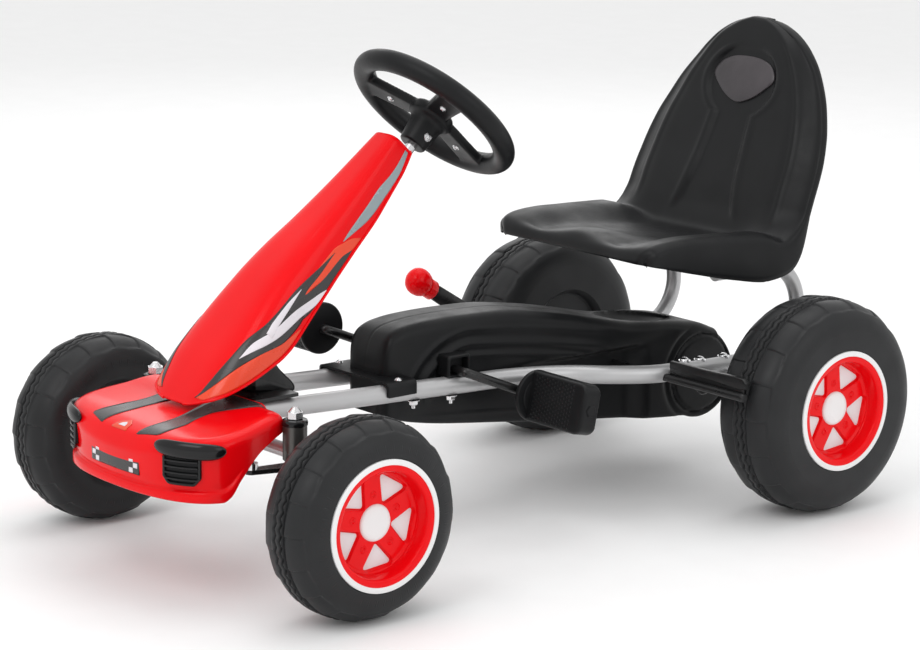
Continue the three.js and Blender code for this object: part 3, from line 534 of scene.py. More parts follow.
def rim_face(wheel):
    """The spoke plate and the wall round it, as one skin, with five windows pressed in."""
    w = wheel["width"] / 2
    hole = wheel["axle"] + 0.6
    sector = 2 * np.pi / SPOKES
    radii = np.concatenate([[hole, 14, 19], np.linspace(21, 54, 46), [55, 55.8]])
    turn = np.linspace(0, 2 * np.pi, 480, endpoint=False)
    rr, tt = np.meshgrid(radii, turn, indexing="ij")
    near = (tt + sector / 2) % sector - sector / 2
    flat = np.stack([rr * np.cos(near), rr * np.sin(near)], 2).reshape(-1, 2)
    gap = triangle_distance(WINDOW, flat).reshape(rr.shape) - WINDOW_ROUND
    h = np.where(rr < 20, w - 19, w - 21.6 + 3.6 * step(-0.4, 1.2, gap))
    # a bolt's boss in the middle of each spoke
    spoke = tt % sector - sector / 2
    boss = np.hypot(rr * np.cos(spoke) - 31, rr * np.sin(spoke))
    h = h + 1.3 * step(4.4, 3.4, boss) - 1.5 * step(2.4, 1.5, boss)
    # the floor curves up into the wall
    h = h + 2.0 * step(50, 54, rr) ** 2
    wall = [(56.6, w - 14.6), (57.2, w - 12), (58.2, w - 5), (58.8, w - 2.6), (59.8, w - 0.9),
        (61.2, w - 0.2), (65.4, w + 0.5), (66.4, w + 0.4), (66.8, w - 0.6), (66.8, w - 4), (66.6, w - 22),
        (60, w - 30), (hole, w - 33)]
    skin = np.stack([h, rr * np.cos(tt), rr * np.sin(tt)], 2)
    extra = np.array([[[b, a * math.cos(t), a * math.sin(t)] for t in turn] for a, b in wall])
    return np.concatenate([skin, extra])


def window_plates(wheel):
    """Five pale plates on the floors of the windows."""
    w = wheel["width"] / 2
    centre = WINDOW.mean(0)
    inner = centre + (WINDOW - centre) * 0.985
    outline = []
    for i in range(3):
        a, b, c = inner[i - 1], inner[i], inner[(i + 1) % 3]
        start, end = (math.atan2(-edge[0], edge[1]) for edge in (b - a, c - b))
        while end < start:
            end += 2 * math.pi
        outline += [b + (WINDOW_ROUND - 0.8) * np.array([math.cos(t), math.sin(t)])
                    for t in np.linspace(start, end, 8)]
    build = Build()
    for k in range(SPOKES):
        spun = np.array(outline) @ turned(2 * math.pi * k / SPOKES)[1:, 1:].T
        middle = spun.mean(0)
        levels = ((w - 22, 1), (w - 21.25, 1), (w - 21, 0.97))
        build.tube([at_x(middle + (spun - middle) * size, x) for x, size in levels])
    return build


def wheels():
    for end, wheel in (("front", FRONT_WHEEL), ("rear", REAR_WHEEL)):
        w = wheel["width"] / 2
        body = "front_wheel_{}" if end == "front" else "rear_axle"
        place = lambda p: p + [wheel["x"], wheel["y"], wheel["radius"]]
        spun = lambda p: place(p @ turned(WHEEL_TURN).T)
        Build().grid(tyre(wheel), wrap_rows=True, wrap_cols=True).move(place).pair(
            f"{end}_tread", "tyre", body, replaces=f"{end}_tyre", angle=28)
        Build().grid(rim_face(wheel), wrap_rows=True, wrap_cols=True).move(spun).pair(
            f"{end}_dish", "red", body, replaces=f"{end}_rim", angle=50)
        ring = [(66.6, w - 3), (66.4, w + 1.0), (67.0, w + 1.6), (71.4, w + 1.5), (72.6, w + 0.8),
            (72.9, w - 3)]
        Build().lathe(ring, segments=120, closed=True).move(place).pair(
            f"{end}_trim_ring", "white", body, angle=40)
        cap = [(0, w - 14.4), (6, w - 14.45), (13, w - 14.8), (17, w - 15.3), (19.4, w - 16.2),
            (20.4, w - 17.6), (20.6, w - 21), (0, w - 21)]
        Build().lathe(cap, segments=64).move(place).pair(
            f"{end}_cap", "white", body, replaces=f"{end}_hub_cap")
        window_plates(wheel).move(spun).pair(f"{end}_windows", "pale", body)


wheels()


# ---- frame tubes ----
def tube_z(y):
    return 172 - 0.0432 * np.asarray(y, float)


def frame_tubes():
    straight = [(51, y, tube_z(y)) for y in (-356, -50, 30)]
    bow = [(x, y, tube_z(y)) for x, y in ((70, 105), (98, 150), (119, 198), (122, 246))]
    rail = spline(straight + bow, 16)
    # the main tube, with its foot over the front beam
    Build().sweep(rail, MAIN_TUBE, sides=32).block((42, -355, 162.5), (60, -327, 178), 2).pair(
        "main_rail", "silver", replaces="main_tube")
    lip = [(9.7, 0.2), (11.0, 0.2), (11.3, -0.6), (11.3, -2), (11.0, -2.6)]
    Build().lathe(lip, rail[-1], rail[-1] - rail[-3], 32).pair("rail_end", "silver")
    start = [(121.8, 246.3, tube_z(246)), (120.5, 270, 160.8), (118, 295, 159.2), (114, 330, 157.4),
             (111.5, 365, 155)]
    turn = [(SEAT_RAIL_X, y, z) for y, z in arc(394, 212.7, 58.9, -90, 90, 24)]
    top = [(SEAT_RAIL_X, y, 271.6) for y in (365, 335, 307)]
    Build().sweep(spline(start + turn + top, 6), SEAT_TUBE, sides=28).pair(
        "seat_rail", "silver", replaces="rear_tube")


def kingpin_towers():
    """The turned sleeve over each kingpin, with a plastic collar at its top."""
    at = (KINGPIN_X, FRONT_Y, 0)
    tower = [(9, 150), (12.6, 150), (13.4, 150.8), (13.5, 152), (13.5, 189.5), (9, 189.5)]
    Build().lathe(tower, at, (0, 0, 1), 64, closed=True).pair(
        "kingpin_tower", "grey_steel", replaces="kingpin_sleeve")
    collar = [(9, 189), (13.9, 189), (14.4, 190), (14.4, 193), (13.6, 195.2), (11.6, 196), (9, 196)]
    Build().lathe(collar, at, (0, 0, 1), 64, closed=True).pair(
        "kingpin_collar", "gloss_black", slot="black_steel")


# ---- bolts ----
def domed_bolt(at, axis=(0, 0, 1), size=1.0, washer=True):
    dome = [(0, 5.2), (2.4, 4.8), (4.6, 3.6), (5.9, 1.8), (6.2, 0.9)]
    dome += [(6.2, 0.8), (7.8, 0.8), (8.0, 0.5), (8.0, -1)] if washer else [(6.2, -1)]
    return Build().lathe(np.array(dome) * size, at, axis, 28)


def hex_bolt(at, axis=(0, 0, -1), size=1.0):
    build = Build().lathe([(0, 1), (8.4, 1), (8.6, 0.7), (8.6, 0)], at, axis, 32)
    build.lathe([(0, 6.2), (4.6, 6.2), (5.9, 5.0), (5.9, 0.8)], at, axis, 6)
    build.lathe([(0, 10.5), (2.2, 10.5), (2.8, 9.8), (2.8, 6)], at, axis, 18)
    return build.move(lambda p: np.array(at) + (p - np.array(at)) * size)


def bolts():
    heads = Build()
    for at in ((116, 255, 171.2), (117, 280, 169.1), (113, 324, 166.3)):
        heads.join(domed_bolt(at, (0.05, 0, 1), 0.95))
    heads.pair("seat_rail_bolts", "zinc")
    nuts = Build()
    for y in (-118, -62):
        nuts.join(hex_bolt((53, y, float(tube_z(y)) - 10.8), (0.05, 0, -1), 0.95))
    nuts.pair("case_bolts", "zinc")


frame_tubes()
kingpin_towers()
bolts()


# ---- column cover: s runs down the column, n out to its front ----
COVER_WIDTH = curve([(40, 17), (64, 21), (145, 32), (203, 40), (247, 46.5), (295, 52), (345, 59), (400, 64.5),
                     (430, 65), (448, 63.5), (457, 60), (462, 54), (470, 44)])
COVER_RIDGE = curve([(40, 39), (64, 42), (145, 52), (203, 61), (247, 69), (295, 74.5), (345, 76), (400, 76.5),
                     (430, 74), (461, 70), (470, 69)])
COVER_EDGE = curve([(60, 10), (95, 6), (145, 6), (203, 11), (247, 15), (295, 17), (340, 20), (358, 24),
                    (375, 31), (400, 42), (425, 54), (445, 64), (455, 68), (480, 72)])


def cover_section(s, count, inset=0.0):
    """(x, n) points across the cover from the left lower edge over the ridge to the right."""
    width, crest, edge = COVER_WIDTH(s) - inset, COVER_RIDGE(s) - inset, COVER_EDGE(s)
    spring = crest - 1.05 * min(width, 45)
    turn = np.linspace(0, np.pi, 181)
    c, h = np.cos(turn), np.sin(turn)
    x = width * np.sign(c) * np.abs(c) ** 0.5
    over = np.stack([x, spring + (crest - spring) * h ** 0.5], 1)
    right = np.vstack([[width, min(edge, spring)], over[:91]])
    if edge > right[0, 1]:
        keep = right[:, 1] > edge
        first = int(np.argmax(keep))
        below, above = right[first - 1], right[first]
        cut = below + (above - below) * ((edge - below[1]) / max(above[1] - below[1], 1e-6))
        right = np.vstack([cut, right[first:]]) if keep.any() else right[-2:]
    half = resample(right, count // 2 + 1)
    return np.vstack([half, (half * [-1, 1])[::-1][1:]])


def on_cover(s, xn):
    return WHEEL_CENTRE + s * DOWN + xn[:, 1, None] * OUT + xn[:, 0, None] * X_AXIS


def column_cover():
    # a rounded upper end, then the length of the cover with closer sections at its foot
    upper = ((62.2, 3.2), (62.4, 1.8), (63.2, 0.6))
    rings = [on_cover(s, cover_section(64, 80, inset)) for s, inset in upper]
    stations = np.concatenate([np.linspace(64.4, 340, 90), np.linspace(342, 463, 60)])
    rings += [on_cover(s, cover_section(s, 80)) for s in stations]
    Build().grid(rings).piece("column_shell", "red", replaces=["column_cover"], thickness=2.8, angle=60)
    # a bead along the lower edges
    bead = resample([ring[0] for ring in rings], 90) + [0.3, 0, 0]
    Build().sweep(bead, 1.5, sides=10).pair("cover_rim", "red")


def side_strip(s, low, high, across, lift):
    """Points across one side of the cover between two fractions of the way from its ridge to its edge."""
    flank = cover_section(s, 160)[:81][::-1]
    length = np.linspace(0, 1, len(flank))
    at = np.linspace(low, high, across)
    tangent = interpolate(at, length, np.gradient(flank, axis=0))
    normal = np.stack([-tangent[:, 1], tangent[:, 0]], 1)
    normal /= np.linalg.norm(normal, axis=1)[:, None] + 1e-9
    return on_cover(s, interpolate(at, length, flank) + lift * normal)


# each sticker: its look, how far it stands off, and its two edges as fractions at stations down the cover
DECALS = [
    ("spear", "decal_grey", 0.35, [
        (67, .80, .91), (100, .775, .95), (130, .71, .925), (160, .71, .89), (190, .725, .80),
        (205, .745, .75)]),
    ("flash_upper", "decal_orange", 0.35, [
        (186, .955, .965), (195, .83, .97), (205, .77, .96), (220, .70, .93), (250, .69, .87),
        (280, .66, .775), (300, .765, .77)]),
    ("bolt_long", "decal_dark", 0.45, [
        (222, .745, .75), (250, .69, .76), (280, .625, .74), (294, .605, .80), (310, .595, .92),
        (340, .565, .885), (370, .52, .78), (400, .545, .725), (430, .58, .71), (452, .66, .69)]),
    ("bolt_short", "decal_dark", 0.45, [
        (205, .95, .96), (220, .88, .97), (250, .85, .97), (280, .77, .965), (296, .70, .95),
        (312, .68, .90)]),
    ("dart", "decal_white", 0.6, [
        (262, .965, .97), (272, .91, .97), (280, .875, .965), (310, .75, .865), (340, .68, .79),
        (370, .605, .70), (392, .635, .64)]),
    ("dart_upper", "decal_white", 0.6, [
        (283, .66, .665), (310, .62, .68), (335, .61, .69), (350, .63, .72)]),
    ("flash_lower", "decal_orange", 0.35, [
        (318, .955, .965), (340, .885, .97), (370, .78, .97), (400, .725, .97), (430, .71, .96),
        (452, .69, .90)]),
]
STICKER = 0.25  # thickness


def decals():
    for name, look, lift, table in DECALS:
        low, high = curve([(s, a) for s, a, _ in table]), curve([(s, b) for s, _, b in table])
        stations = np.linspace(table[0][0], table[-1][0], 60)
        rings = [side_strip(s, float(low(s)), float(high(s)), 12, lift) for s in stations]
        Build().grid(rings).pair("decal_" + name, look, thickness=STICKER)


column_cover()
decals()


# ---- nose fairing ----
NOSE_FRONT = -497.5
NOSE_HALF = [(0, NOSE_FRONT), (45, NOSE_FRONT + 2), (80, NOSE_FRONT + 8), (108, NOSE_FRONT + 19),
    (127, NOSE_FRONT + 35), (136.5, NOSE_FRONT + 55), (137, NOSE_FRONT + 78), (131, NOSE_FRONT + 105),
    (126, NOSE_FRONT + 130), (121, NOSE_FRONT + 142), (112, -351), (96, -350), (80, -350.5), (60, -351),
    (0, -351)]
NOSE_TOP = curve([(-510, 160), (-503, 166), (-495, 175), (-486, 182), (-470, 186), (-440, 189), (-400, 194.5),
                  (-372, 199.5), (-350, 202.3)])
NOSE_BOTTOM = curve([(-520, 118), (-446, 118), (-436, 123), (-424, 139), (-408, 155), (-388, 168),
    (-365, 178), (-340, 184)])
NOSE_PLAN = resample(spline(both_halves(NOSE_HALF), 14, closed=True), 300, closed=True)
# the top's edge is rounded all round but not where it runs in under the cover
REAR_MIDDLE = (np.abs(NOSE_PLAN[:, 0]) < 84) & (NOSE_PLAN[:, 1] > -365)
ROUNDED_PLAN = NOSE_PLAN + np.where(REAR_MIDDLE, 30.0, 0.0)[:, None] * [0, 1]
# lip, groove and wall, as fractions of the wall's height with an inward offset
NOSE_WALL = ((0, 1.2), (0.02, 0.3), (0.05, 0.0), (0.17, 0.0), (0.20, 0.6), (0.225, 3.2), (0.245, 4.2),
    (0.27, 4.4), (0.30, 3.8), (0.36, 3.2), (0.5, 2.6), (0.7, 1.8), (0.85, 1.0), (0.95, 0.4), (1.0, 0.0))


def nose_height(xy, radius=13.0):
    d = np.minimum(distance_to(ROUNDED_PLAN, xy), radius)
    fall = radius - np.sqrt(np.maximum(radius**2 - (radius - d) ** 2, 0))
    return np.minimum(NOSE_TOP(xy[:, 1]), 203) - fall * 0.9


def on_nose(xy, lift=0.0):
    return np.column_stack([xy, nose_height(xy) + lift])


def nose():
    plan = NOSE_PLAN
    tangent = unit(np.roll(plan, -1, axis=0) - np.roll(plan, 1, axis=0))
    outward = np.stack([tangent[:, 1], -tangent[:, 0]], 1)
    front = step(-415, -440, plan[:, 1])
    crest = nose_height(plan)
    base = np.where(REAR_MIDDLE, crest - 3.2, np.minimum(NOSE_BOTTOM(plan[:, 1]), crest - 6))
    rings = [np.column_stack([plan - outward * (inward * front)[:, None], base + frac * (crest - base)])
             for frac, inward in NOSE_WALL]
    centre = np.column_stack([plan[:, 0] * 0.15, -420.0 + 0.15 * (plan[:, 1] + 420)])
    inwards = np.concatenate([[0.006, 0.014, 0.026, 0.042, 0.062, 0.086, 0.115, 0.15],
        np.linspace(0.2, 1, 14)])
    rings += [on_nose(plan + (centre - plan) * k) for k in inwards]
    Build().tube(rings, cap=False).add(rings[-1], [list(range(len(plan)))]).piece(
        "nose_shell", "red", replaces=["nose_fairing"], angle=55, thickness=2.6)


def nose_stripes():
    """A sticker on each side of the nose's top, between two x(y) lines."""
    inner = curve([(-488, 33), (-442, 32), (-400, 23), (-378, 18), (-353, 12)])
    outer = curve([(-488, 36), (-479, 64), (-442, 61), (-424, 55), (-405, 53), (-373, 73), (-353, 88)])
    rings = []
    for y in np.linspace(-488, -353, 40):
        x = np.linspace(float(inner(y)), float(outer(y)), 8)
        rings.append(on_nose(np.column_stack([x, np.full(8, y)]), 0.5))
    Build().grid(rings).pair("nose_stripe", "decal_dark", thickness=STICKER)


def nose_front():
    """Name plate, brows and vents, placed by s along the nose's outline from its middle to the left."""
    plan = NOSE_PLAN[(NOSE_PLAN[:, 1] < -395) & (NOSE_PLAN[:, 0] > -2)]
    plan = plan[np.argsort(np.arctan2(plan[:, 0], -(plan[:, 1] + 395)))]
    length = lengths(plan)
    tangent = unit(np.gradient(plan, axis=0))
    normal = np.stack([tangent[:, 1], -tangent[:, 0]], 1)

    def at(s, z, lift):
        p = interpolate(s, length, plan) + interpolate(s, length, normal) * np.asarray(lift)[..., None]
        return np.column_stack([p, np.broadcast_to(z, len(s))])

    def reach(x):
        return float(np.interp(x, plan[:60, 0], length[:60]))

    # plate across the middle, with plain pale blocks at its ends
    across = np.linspace(-46, 46, 40)
    rows = []
    for z in np.linspace(137.5, 157, 8):
        p = at(np.abs(across), z, np.full(40, -1.6 + (z - 147) * 0.02))
        p[:, 0] *= np.sign(across)
        rows.append(p)
    Build().grid(rows).piece("name_plate", "decal_dark", slot="black_plastic", thickness=0.9)
    checks = Build()
    for i, j in ((0, 0), (0, 2), (1, 1)):
        s = np.linspace(29 + 7.5 * i, 36 + 7.5 * i, 6)
        checks.grid([at(s, z, np.full(6, -1.2)) for z in np.linspace(138.5 + 6 * j, 144 + 6 * j, 4)])
    checks.pair("plate_check", "decal_white", slot="black_plastic", thickness=0.4)
    # brow
    t = np.linspace(-1, 1, 60)
    fat = (1 - np.abs(t) ** 4) ** 0.5
    path = at(np.linspace(reach(72), reach(72) + 86, 60), 176.2 - 1.5 * t, -1.2 + 1.6 * fat)
    Build().sweep(path, 8.0 * np.maximum(fat, 0.05), sides=24, squash=(0.74, 1.2)).pair(
        "brow", "gloss_black", replaces="lamp_brow")
    # vent with slats and a frame round them
    s = np.linspace(reach(84), reach(84) + 46, 26)
    foot = 138 + 8 * (1 - step(0, 9, np.minimum(s - s[0], s[-1] - s)))
    rows = [at(s, np.maximum(z, foot), np.full(26, -0.2)) for z in np.linspace(137, 168, 20)]
    Build().grid(rows).pair("vent_back", "black", thickness=1.2)
    slats = Build()
    for k in range(4):
        slats.sweep(at(s[2:-2], 144 + 6.6 * k, np.full(22, 0.9)), 2.6, sides=10, squash=(0.8, 0.55))
    for end in (1, -2):
        column = at(np.full(10, s[end]), np.linspace(146, 168, 10), np.full(10, 0.9))
        slats.sweep(column, 2.0, sides=10, squash=(0.9, 0.9))
    slats.sweep(at(s[1:-1], foot[1:-1] + 1, np.full(24, 0.9)), 2.0, sides=10, squash=(0.9, 0.9))
    slats.pair("vent_slats", "gloss_black")


def badge():
    """A plain shield on the nose's top, with a small pale one on it."""
    shield = np.array([(-14, -489), (14, -489), (10, -478), (0, -470), (-10, -478)], float)
    edge = resample(shield, 60, closed=True)
    middle = np.array([0.0, -482.0])
    parts = (("badge", "decal_orange", 1.0, 0.5), ("badge_mark", "decal_white", 0.42, 0.8))
    for name, look, size, lift in parts:
        rings = [on_nose(middle + (edge - middle) * k * size, lift) for k in np.linspace(1, 0.02, 8)]
        Build().tube(rings, cap=False).add(rings[-1], [list(range(60))]).piece(name, look, thickness=STICKER)


nose()
nose_stripes()
nose_front()
badge()


# ---- foot shroud behind the cover ----
FOOT_TOP = curve([(-330, 243), (-306, 239), (-291, 223.5), (-276, 208.5), (-272.6, 204.5), (-271.5, 201.5)])
FOOT_CREASE = curve([(-330, 222), (-321, 219), (-282, 203.5), (-276, 201.5), (-271.5, 200.2)])
FOOT_BOTTOM = curve([(-330, 203.8), (-300, 199.5), (-284, 196.8), (-276, 196.6), (-272.6, 198),
    (-271.5, 199.4)])
FOOT_WIDTH = curve([(-330, 36), (-284, 36), (-277, 35.2), (-273, 32.5), (-271.5, 30)])


def shroud():
    rings = []
    stations = [np.linspace(-330, -278, 30), np.linspace(-277, -273, 8), [-272.3, -271.8, -271.5]]
    for y in np.concatenate(stations):
        top, crease, low, wide = (float(line(y)) for line in (FOOT_TOP, FOOT_CREASE, FOOT_BOTTOM, FOOT_WIDTH))
        edge = min(2.5, (crease - low) * 0.4)
        inset = 6 * min(1, (top - crease) / 12)
        half = [(0, low), (wide - edge, low), (wide - edge * 0.3, low + edge * 0.3), (wide, low + edge),
                (wide, crease), (wide - inset * 0.12, crease + 0.6), (wide - inset * 0.9, top - 1.6),
                (wide - inset - 1.6, top - 0.3), (wide - inset - 4, top), (0, top + 0.6)]
        rings.append(at_y(both_halves(resample(half, 40)), y))
    Build().tube(rings).piece("column_foot", "gloss_black", replaces=["foot_shroud"], angle=30)


shroud()


# ---- chain case ----
CASE_WIDTH = curve([(-190, 33), (-152, 35), (-120, 37.5), (40, 39), (120, 45), (165, 50), (460, 50)])
CASE_LOWER = curve([(-190, 33), (-152, 35), (-120, 37.5), (225, 38), (262, 50), (460, 50)])
CASE_FRONT = -147.5
CASE_TOP = curve([(-147.5, 200), (-145.5, 216), (-140, 233), (-131, 242), (-113, 247.5), (-80, 250.5),
    (-50, 251), (20, 249), (110, 236), (180, 221), (240, 208), (305, 201), (350, 193), (378, 182)])
CASE_BOTTOM = curve([(-182, 160), (-107, 134), (37, 112), (183, 93), (300, 80), (345, 76)])
DRUM = 57  # radius of the case's round end about the rear axle
AXLE_Z = REAR_WHEEL["radius"]


def case_profile():
    """The case's top and bottom lines over y."""
    ys = np.concatenate([CASE_FRONT + np.linspace(0, 1, 14) ** 2 * 14, np.linspace(-132, 300, 148),
                         np.linspace(303, 392, 45),
                         REAR_Y + DRUM * np.sin(np.linspace(math.asin(44.5 / DRUM), np.pi / 2, 12))])
    top, low = [], []
    for y in ys:
        rise = math.sqrt(max(DRUM**2 - (y - REAR_Y) ** 2, 0))
        behind = y > REAR_Y
        beside = abs(y - REAR_Y) < DRUM + 0.01
        arc_top, arc_low = (AXLE_Z + rise, AXLE_Z - rise) if beside else (-1e3, 1e3)
        top.append(arc_top if behind and y > 378 else max(float(CASE_TOP(y)), arc_top))
        low.append(arc_low if behind else min(float(CASE_BOTTOM(y)), arc_low))
    return zip(ys, top, low)


def case_body():
    rings = []
    for y, t, b in case_profile():
        near = max(1 - (y - CASE_FRONT) / 13, 0)
        trim = 13 * (1 - math.sqrt(1 - near**2))
        wide, lower = float(CASE_WIDTH(y)) - trim, float(CASE_LOWER(y)) - trim
        corner = min(13.0, (t - b) * 0.3)
        foot = min(4.0, (t - b) * 0.2)
        tray = 178.0 if t > 190 else b + (t - b) * 0.4
        tray = min(max(tray, b + foot + 1), t - corner - 1)
        shelf = tray + 3 if t - corner > tray + 3 else tray
        half = np.vstack([[(0, b)], [(lower * 0.5, b)], arc(lower - foot, b + foot, foot, -90, 0, 5),
                          [(lower, b + (tray - b) * 0.5)], [(lower, tray - 3)], [(wide, shelf)],
                          arc(wide - corner, t - corner, corner, 0, 90, 10), [(wide * 0.4, t)], [(0, t)]])
        half = resample(half, 90)
        half[0, 0] = half[-1, 0] = 0
        rings.append(at_y(both_halves(half), y))
    return rings


def case_relief(p):
    """Moulded lines on the case's flanks and top, as moves along x and z."""
    p = p.copy()
    x, y, z = p[:, 0].copy(), p[:, 1].copy(), p[:, 2].copy()
    flank = step(0.80, 0.97, np.abs(x) / CASE_WIDTH(y))
    # long ridges that follow the top line and turn down in front of the crank
    dy, dz = y + 20, z - 150
    radius = np.where(dy < 0, np.hypot(dy * 0.86, dz), dz + 0.085 * dy + 0.00028 * dy**2)
    fade = step(205, 150, y) * step(150, 168, z)
    lines = ridge(radius, 84, 3.0, 1.8) + ridge(radius, 66, 3.0, 2.0) + ridge(radius, 52, 2.6, 1.8)
    dx = (lines - ridge(radius, 75, 3.4, 1.3) - ridge(radius, 58.5, 3.0, 1.3)) * fade
    # square pocket round the crank
    pocket = np.maximum(np.abs(y - CRANK["y"]), np.abs(z - 188)) - 17
    dx += ridge(pocket, 3.2, 1.8, 1.4) - 3.2 * step(1.5, -1.5, pocket)
    # drum: a raised round face with a groove round it
    r = np.hypot(y - REAR_Y, z - AXLE_Z)
    rim = ridge(r, 49.5, 1.6, 2.6) + ridge(r, 60, 3.0, 2.2) * step(345, 320, y)
    dx += step(170, 230, y) * (1.2 * step(47, 45.5, r) - rim)
    # a long hollow that sweeps up to the drum
    sweep = 176 + 0.0012 * (y - 210) ** 2 * np.sign(y - 210)
    dx -= ridge(z, sweep, 11, 3.0) * step(60, 130, y) * step(330, 270, y)
    # faint lengthwise line and uprights on the lower flank
    level = step(140, 160, 160 - np.abs(z - 128)) * step(-110, -90, y) * step(120, 90, y)
    dx += ridge(z, 128 - 0.10 * (y - 20), 1.6, 1.1) * level
    dx += (ridge(y, 150, 2.2, 1.4) + ridge(y, 164, 2.2, 1.0)) * step(148, 138, z)
    p[:, 0] = x + np.sign(x) * dx * flank
    # scoop in the top, and the seam between the two halves
    hollow = np.clip(1 - (x / 37) ** 2 - ((y - 275) / 60) ** 2, 0, 1)
    p[:, 2] = z - (11.5 * np.sqrt(hollow) + ridge(x, 0, 0.9, 0.8)) * step(170, 185, z)
    return p


def chain_case():
    Build().tube(case_body()).move(case_relief).piece(
        "case_shell", "black", replaces=["chain_case_left", "chain_case_right"], angle=50, thickness=2.4)
    # flange over both rails, with a screw at each end
    rest = float(tube_z(-158)) + 11.3
    over = [(65.6, -13), (65.6, -4), (65.2, 0.5), (63.0, 3.2), (58, 3.9), (0, 3.9)]
    under = [(62.6, -13), (62.6, -4), (62.3, -0.6), (61.2, 0.2), (58, 0.5), (0, 0.5)]
    over, under = (resample([(x, rest + z) for x, z in line + [(-x, z) for x, z in line[-2::-1]]], 60)
                   for line in (over, under))
    outline = np.vstack([over, under[::-1]])
    rings = []
    for y, shrink in ((-164, 0.8), (-163.6, 0.3), (-163, 0), (-123, 0), (-122.4, 0.3), (-122, 0.8)):
        raised = outline[:, 1] + (outline[:, 1] < rest - 10) * shrink
        rings.append(at_y(np.stack([outline[:, 0] * (1 - shrink / 65), raised], 1), y))
    Build().tube(rings).piece("case_flange", "black", angle=40)
    domed_bolt((55, -142, rest + 3.8), (0, 0, 1), 0.6).pair("flange_screw", "zinc")


chain_case()


# ---- crank and pedals ----
def crank_end(sign):
    """The point where the crank's left (1) or right (-1) arm turns outwards."""
    turn = CRANK["angle"] + (0 if sign > 0 else math.pi)
    y, z = CRANK["y"] + CRANK["radius"] * math.cos(turn), CRANK["z"] + CRANK["radius"] * math.sin(turn)
    return np.array([sign * 84, y, z])


def crank():
    """One bent rod; each end is given by the straight runs on both sides of its two bends."""
    halves = []
    for sign in (1, -1):
        out = sign * X_AXIS
        middle = np.array([0, CRANK["y"], CRANK["z"]])
        a, b = middle + 70 * out, crank_end(sign)
        u = unit(b - a)
        halves.append([middle + 10 * out, a - 8 * out, a - 2.4 * out + u * 1.6, a + u * 8, b - u * 8,
                       b - u * 1.6 + 2.4 * out, b + 8 * out, b + 99 * out])
    left, right = halves
    Build().sweep(spline(right[::-1] + left), CRANK["rod"]).piece(
        "crank_rod", "black_steel", "crank", replaces=["crank_axle"])


def crank_blocks():
    """A square frame on each side of the case, with the crank coming out of its pocket."""
    middle = np.array([CRANK["y"], CRANK["z"] + 5.5])
    levels = ((37, 17, 13.5, 3), (54.6, 17, 13.5, 3), (56, 16.6, 13.1, 3), (57, 15.4, 11.9, 3),
        (57, 13.8, 10.3, 2.4), (56.3, 13.2, 9.7, 2.2), (47, 12.4, 8.9, 2))
    Build().tube([at_x(middle + rounded(hy, hz, r), x) for x, hy, hz, r in levels]).pair(
        "crank_block", "black", replaces="crank_bearing")


PEDAL_LENGTH, PEDAL_DEPTH, PEDAL_HEIGHT = 99.5, 12.5, 30.0  # the last two are half sizes


def pedal_block():
    """A foot block along +X from the cheek, its spindle at the origin."""
    d, h, length = PEDAL_DEPTH, PEDAL_HEIGHT, PEDAL_LENGTH
    pyramid = [(0, 1, 4), (1, 2, 4), (2, 3, 4), (3, 0, 4), (0, 1, 2, 3)]
    build = Build()
    side = rounded(d, h, 4, 5)
    rings = []
    stations = ((5.5, 0), (7.5, 0), (length - 14, 0), (length - 10, 0), (length - 6, 0), (length - 3.2, 0.1),
                (length - 1.6, 0.6), (length - 0.5, 1.7), (length, 3.2))
    for x, thin in stations:
        near = max(1 - (length - x) / 14, 0)
        low = 14 * (1 - math.sqrt(1 - near**2)) * 0.9
        rings.append(at_x(side * (1 - np.array([thin / d, (thin * 0.5 + low) / h])), x))
    build.tube(rings)
    cheek = [(0, 0), (28, 0), (30, 0.6), (31, 2), (31, 4.6), (30.2, 6), (28.8, 6.5), (0, 6.5)]
    build.lathe(cheek, segments=56).lathe([(0, 7.4), (20, 7.4), (22, 6.4)], segments=40)
    # rows of small pyramids on both faces, beside a smooth outer band
    for face in (1, -1):
        for i in range(15):
            x = 14 + i * 4.6
            for z in -25 + np.arange(11) * 5 + (i % 2) * 2.5:
                if abs(z) < 26.5:
                    feet = ((-1.5, -1.3), (1.5, -1.3), (1.5, 1.3), (-1.5, 1.3))
                    base = [(x + u, face * d, z + v) for u, v in feet]
                    build.add(base + [(x, face * (d + 0.9), z)], pyramid)
    # six-sided end of the spindle's housing
    return build.lathe([(0, 1.5), (6.6, 1.5), (7.6, 0.6), (7.6, -4), (0, -4)], (length, 0, 0), segments=6)


def pedals():
    tilt = turned(math.radians(-12)).T
    for side, sign in SIDES:
        at = crank_end(sign) + 6.5 * sign * X_AXIS
        place = lambda p: (p @ tilt) * [sign, sign, 1] + at
        pedal_block().move(place).piece(f"foot_pedal_{side}", "black", f"pedal_{side}",
                                        replaces=[f"pedal_{side}"], angle=30)
        slot = Build().block((86, 12.2, -16), (89.5, 12.75, 8), 0.2)
        slot.move(place).piece(f"pedal_slot_{side}", "gloss_black", f"pedal_{side}")


crank()
crank_blocks()
pedals()


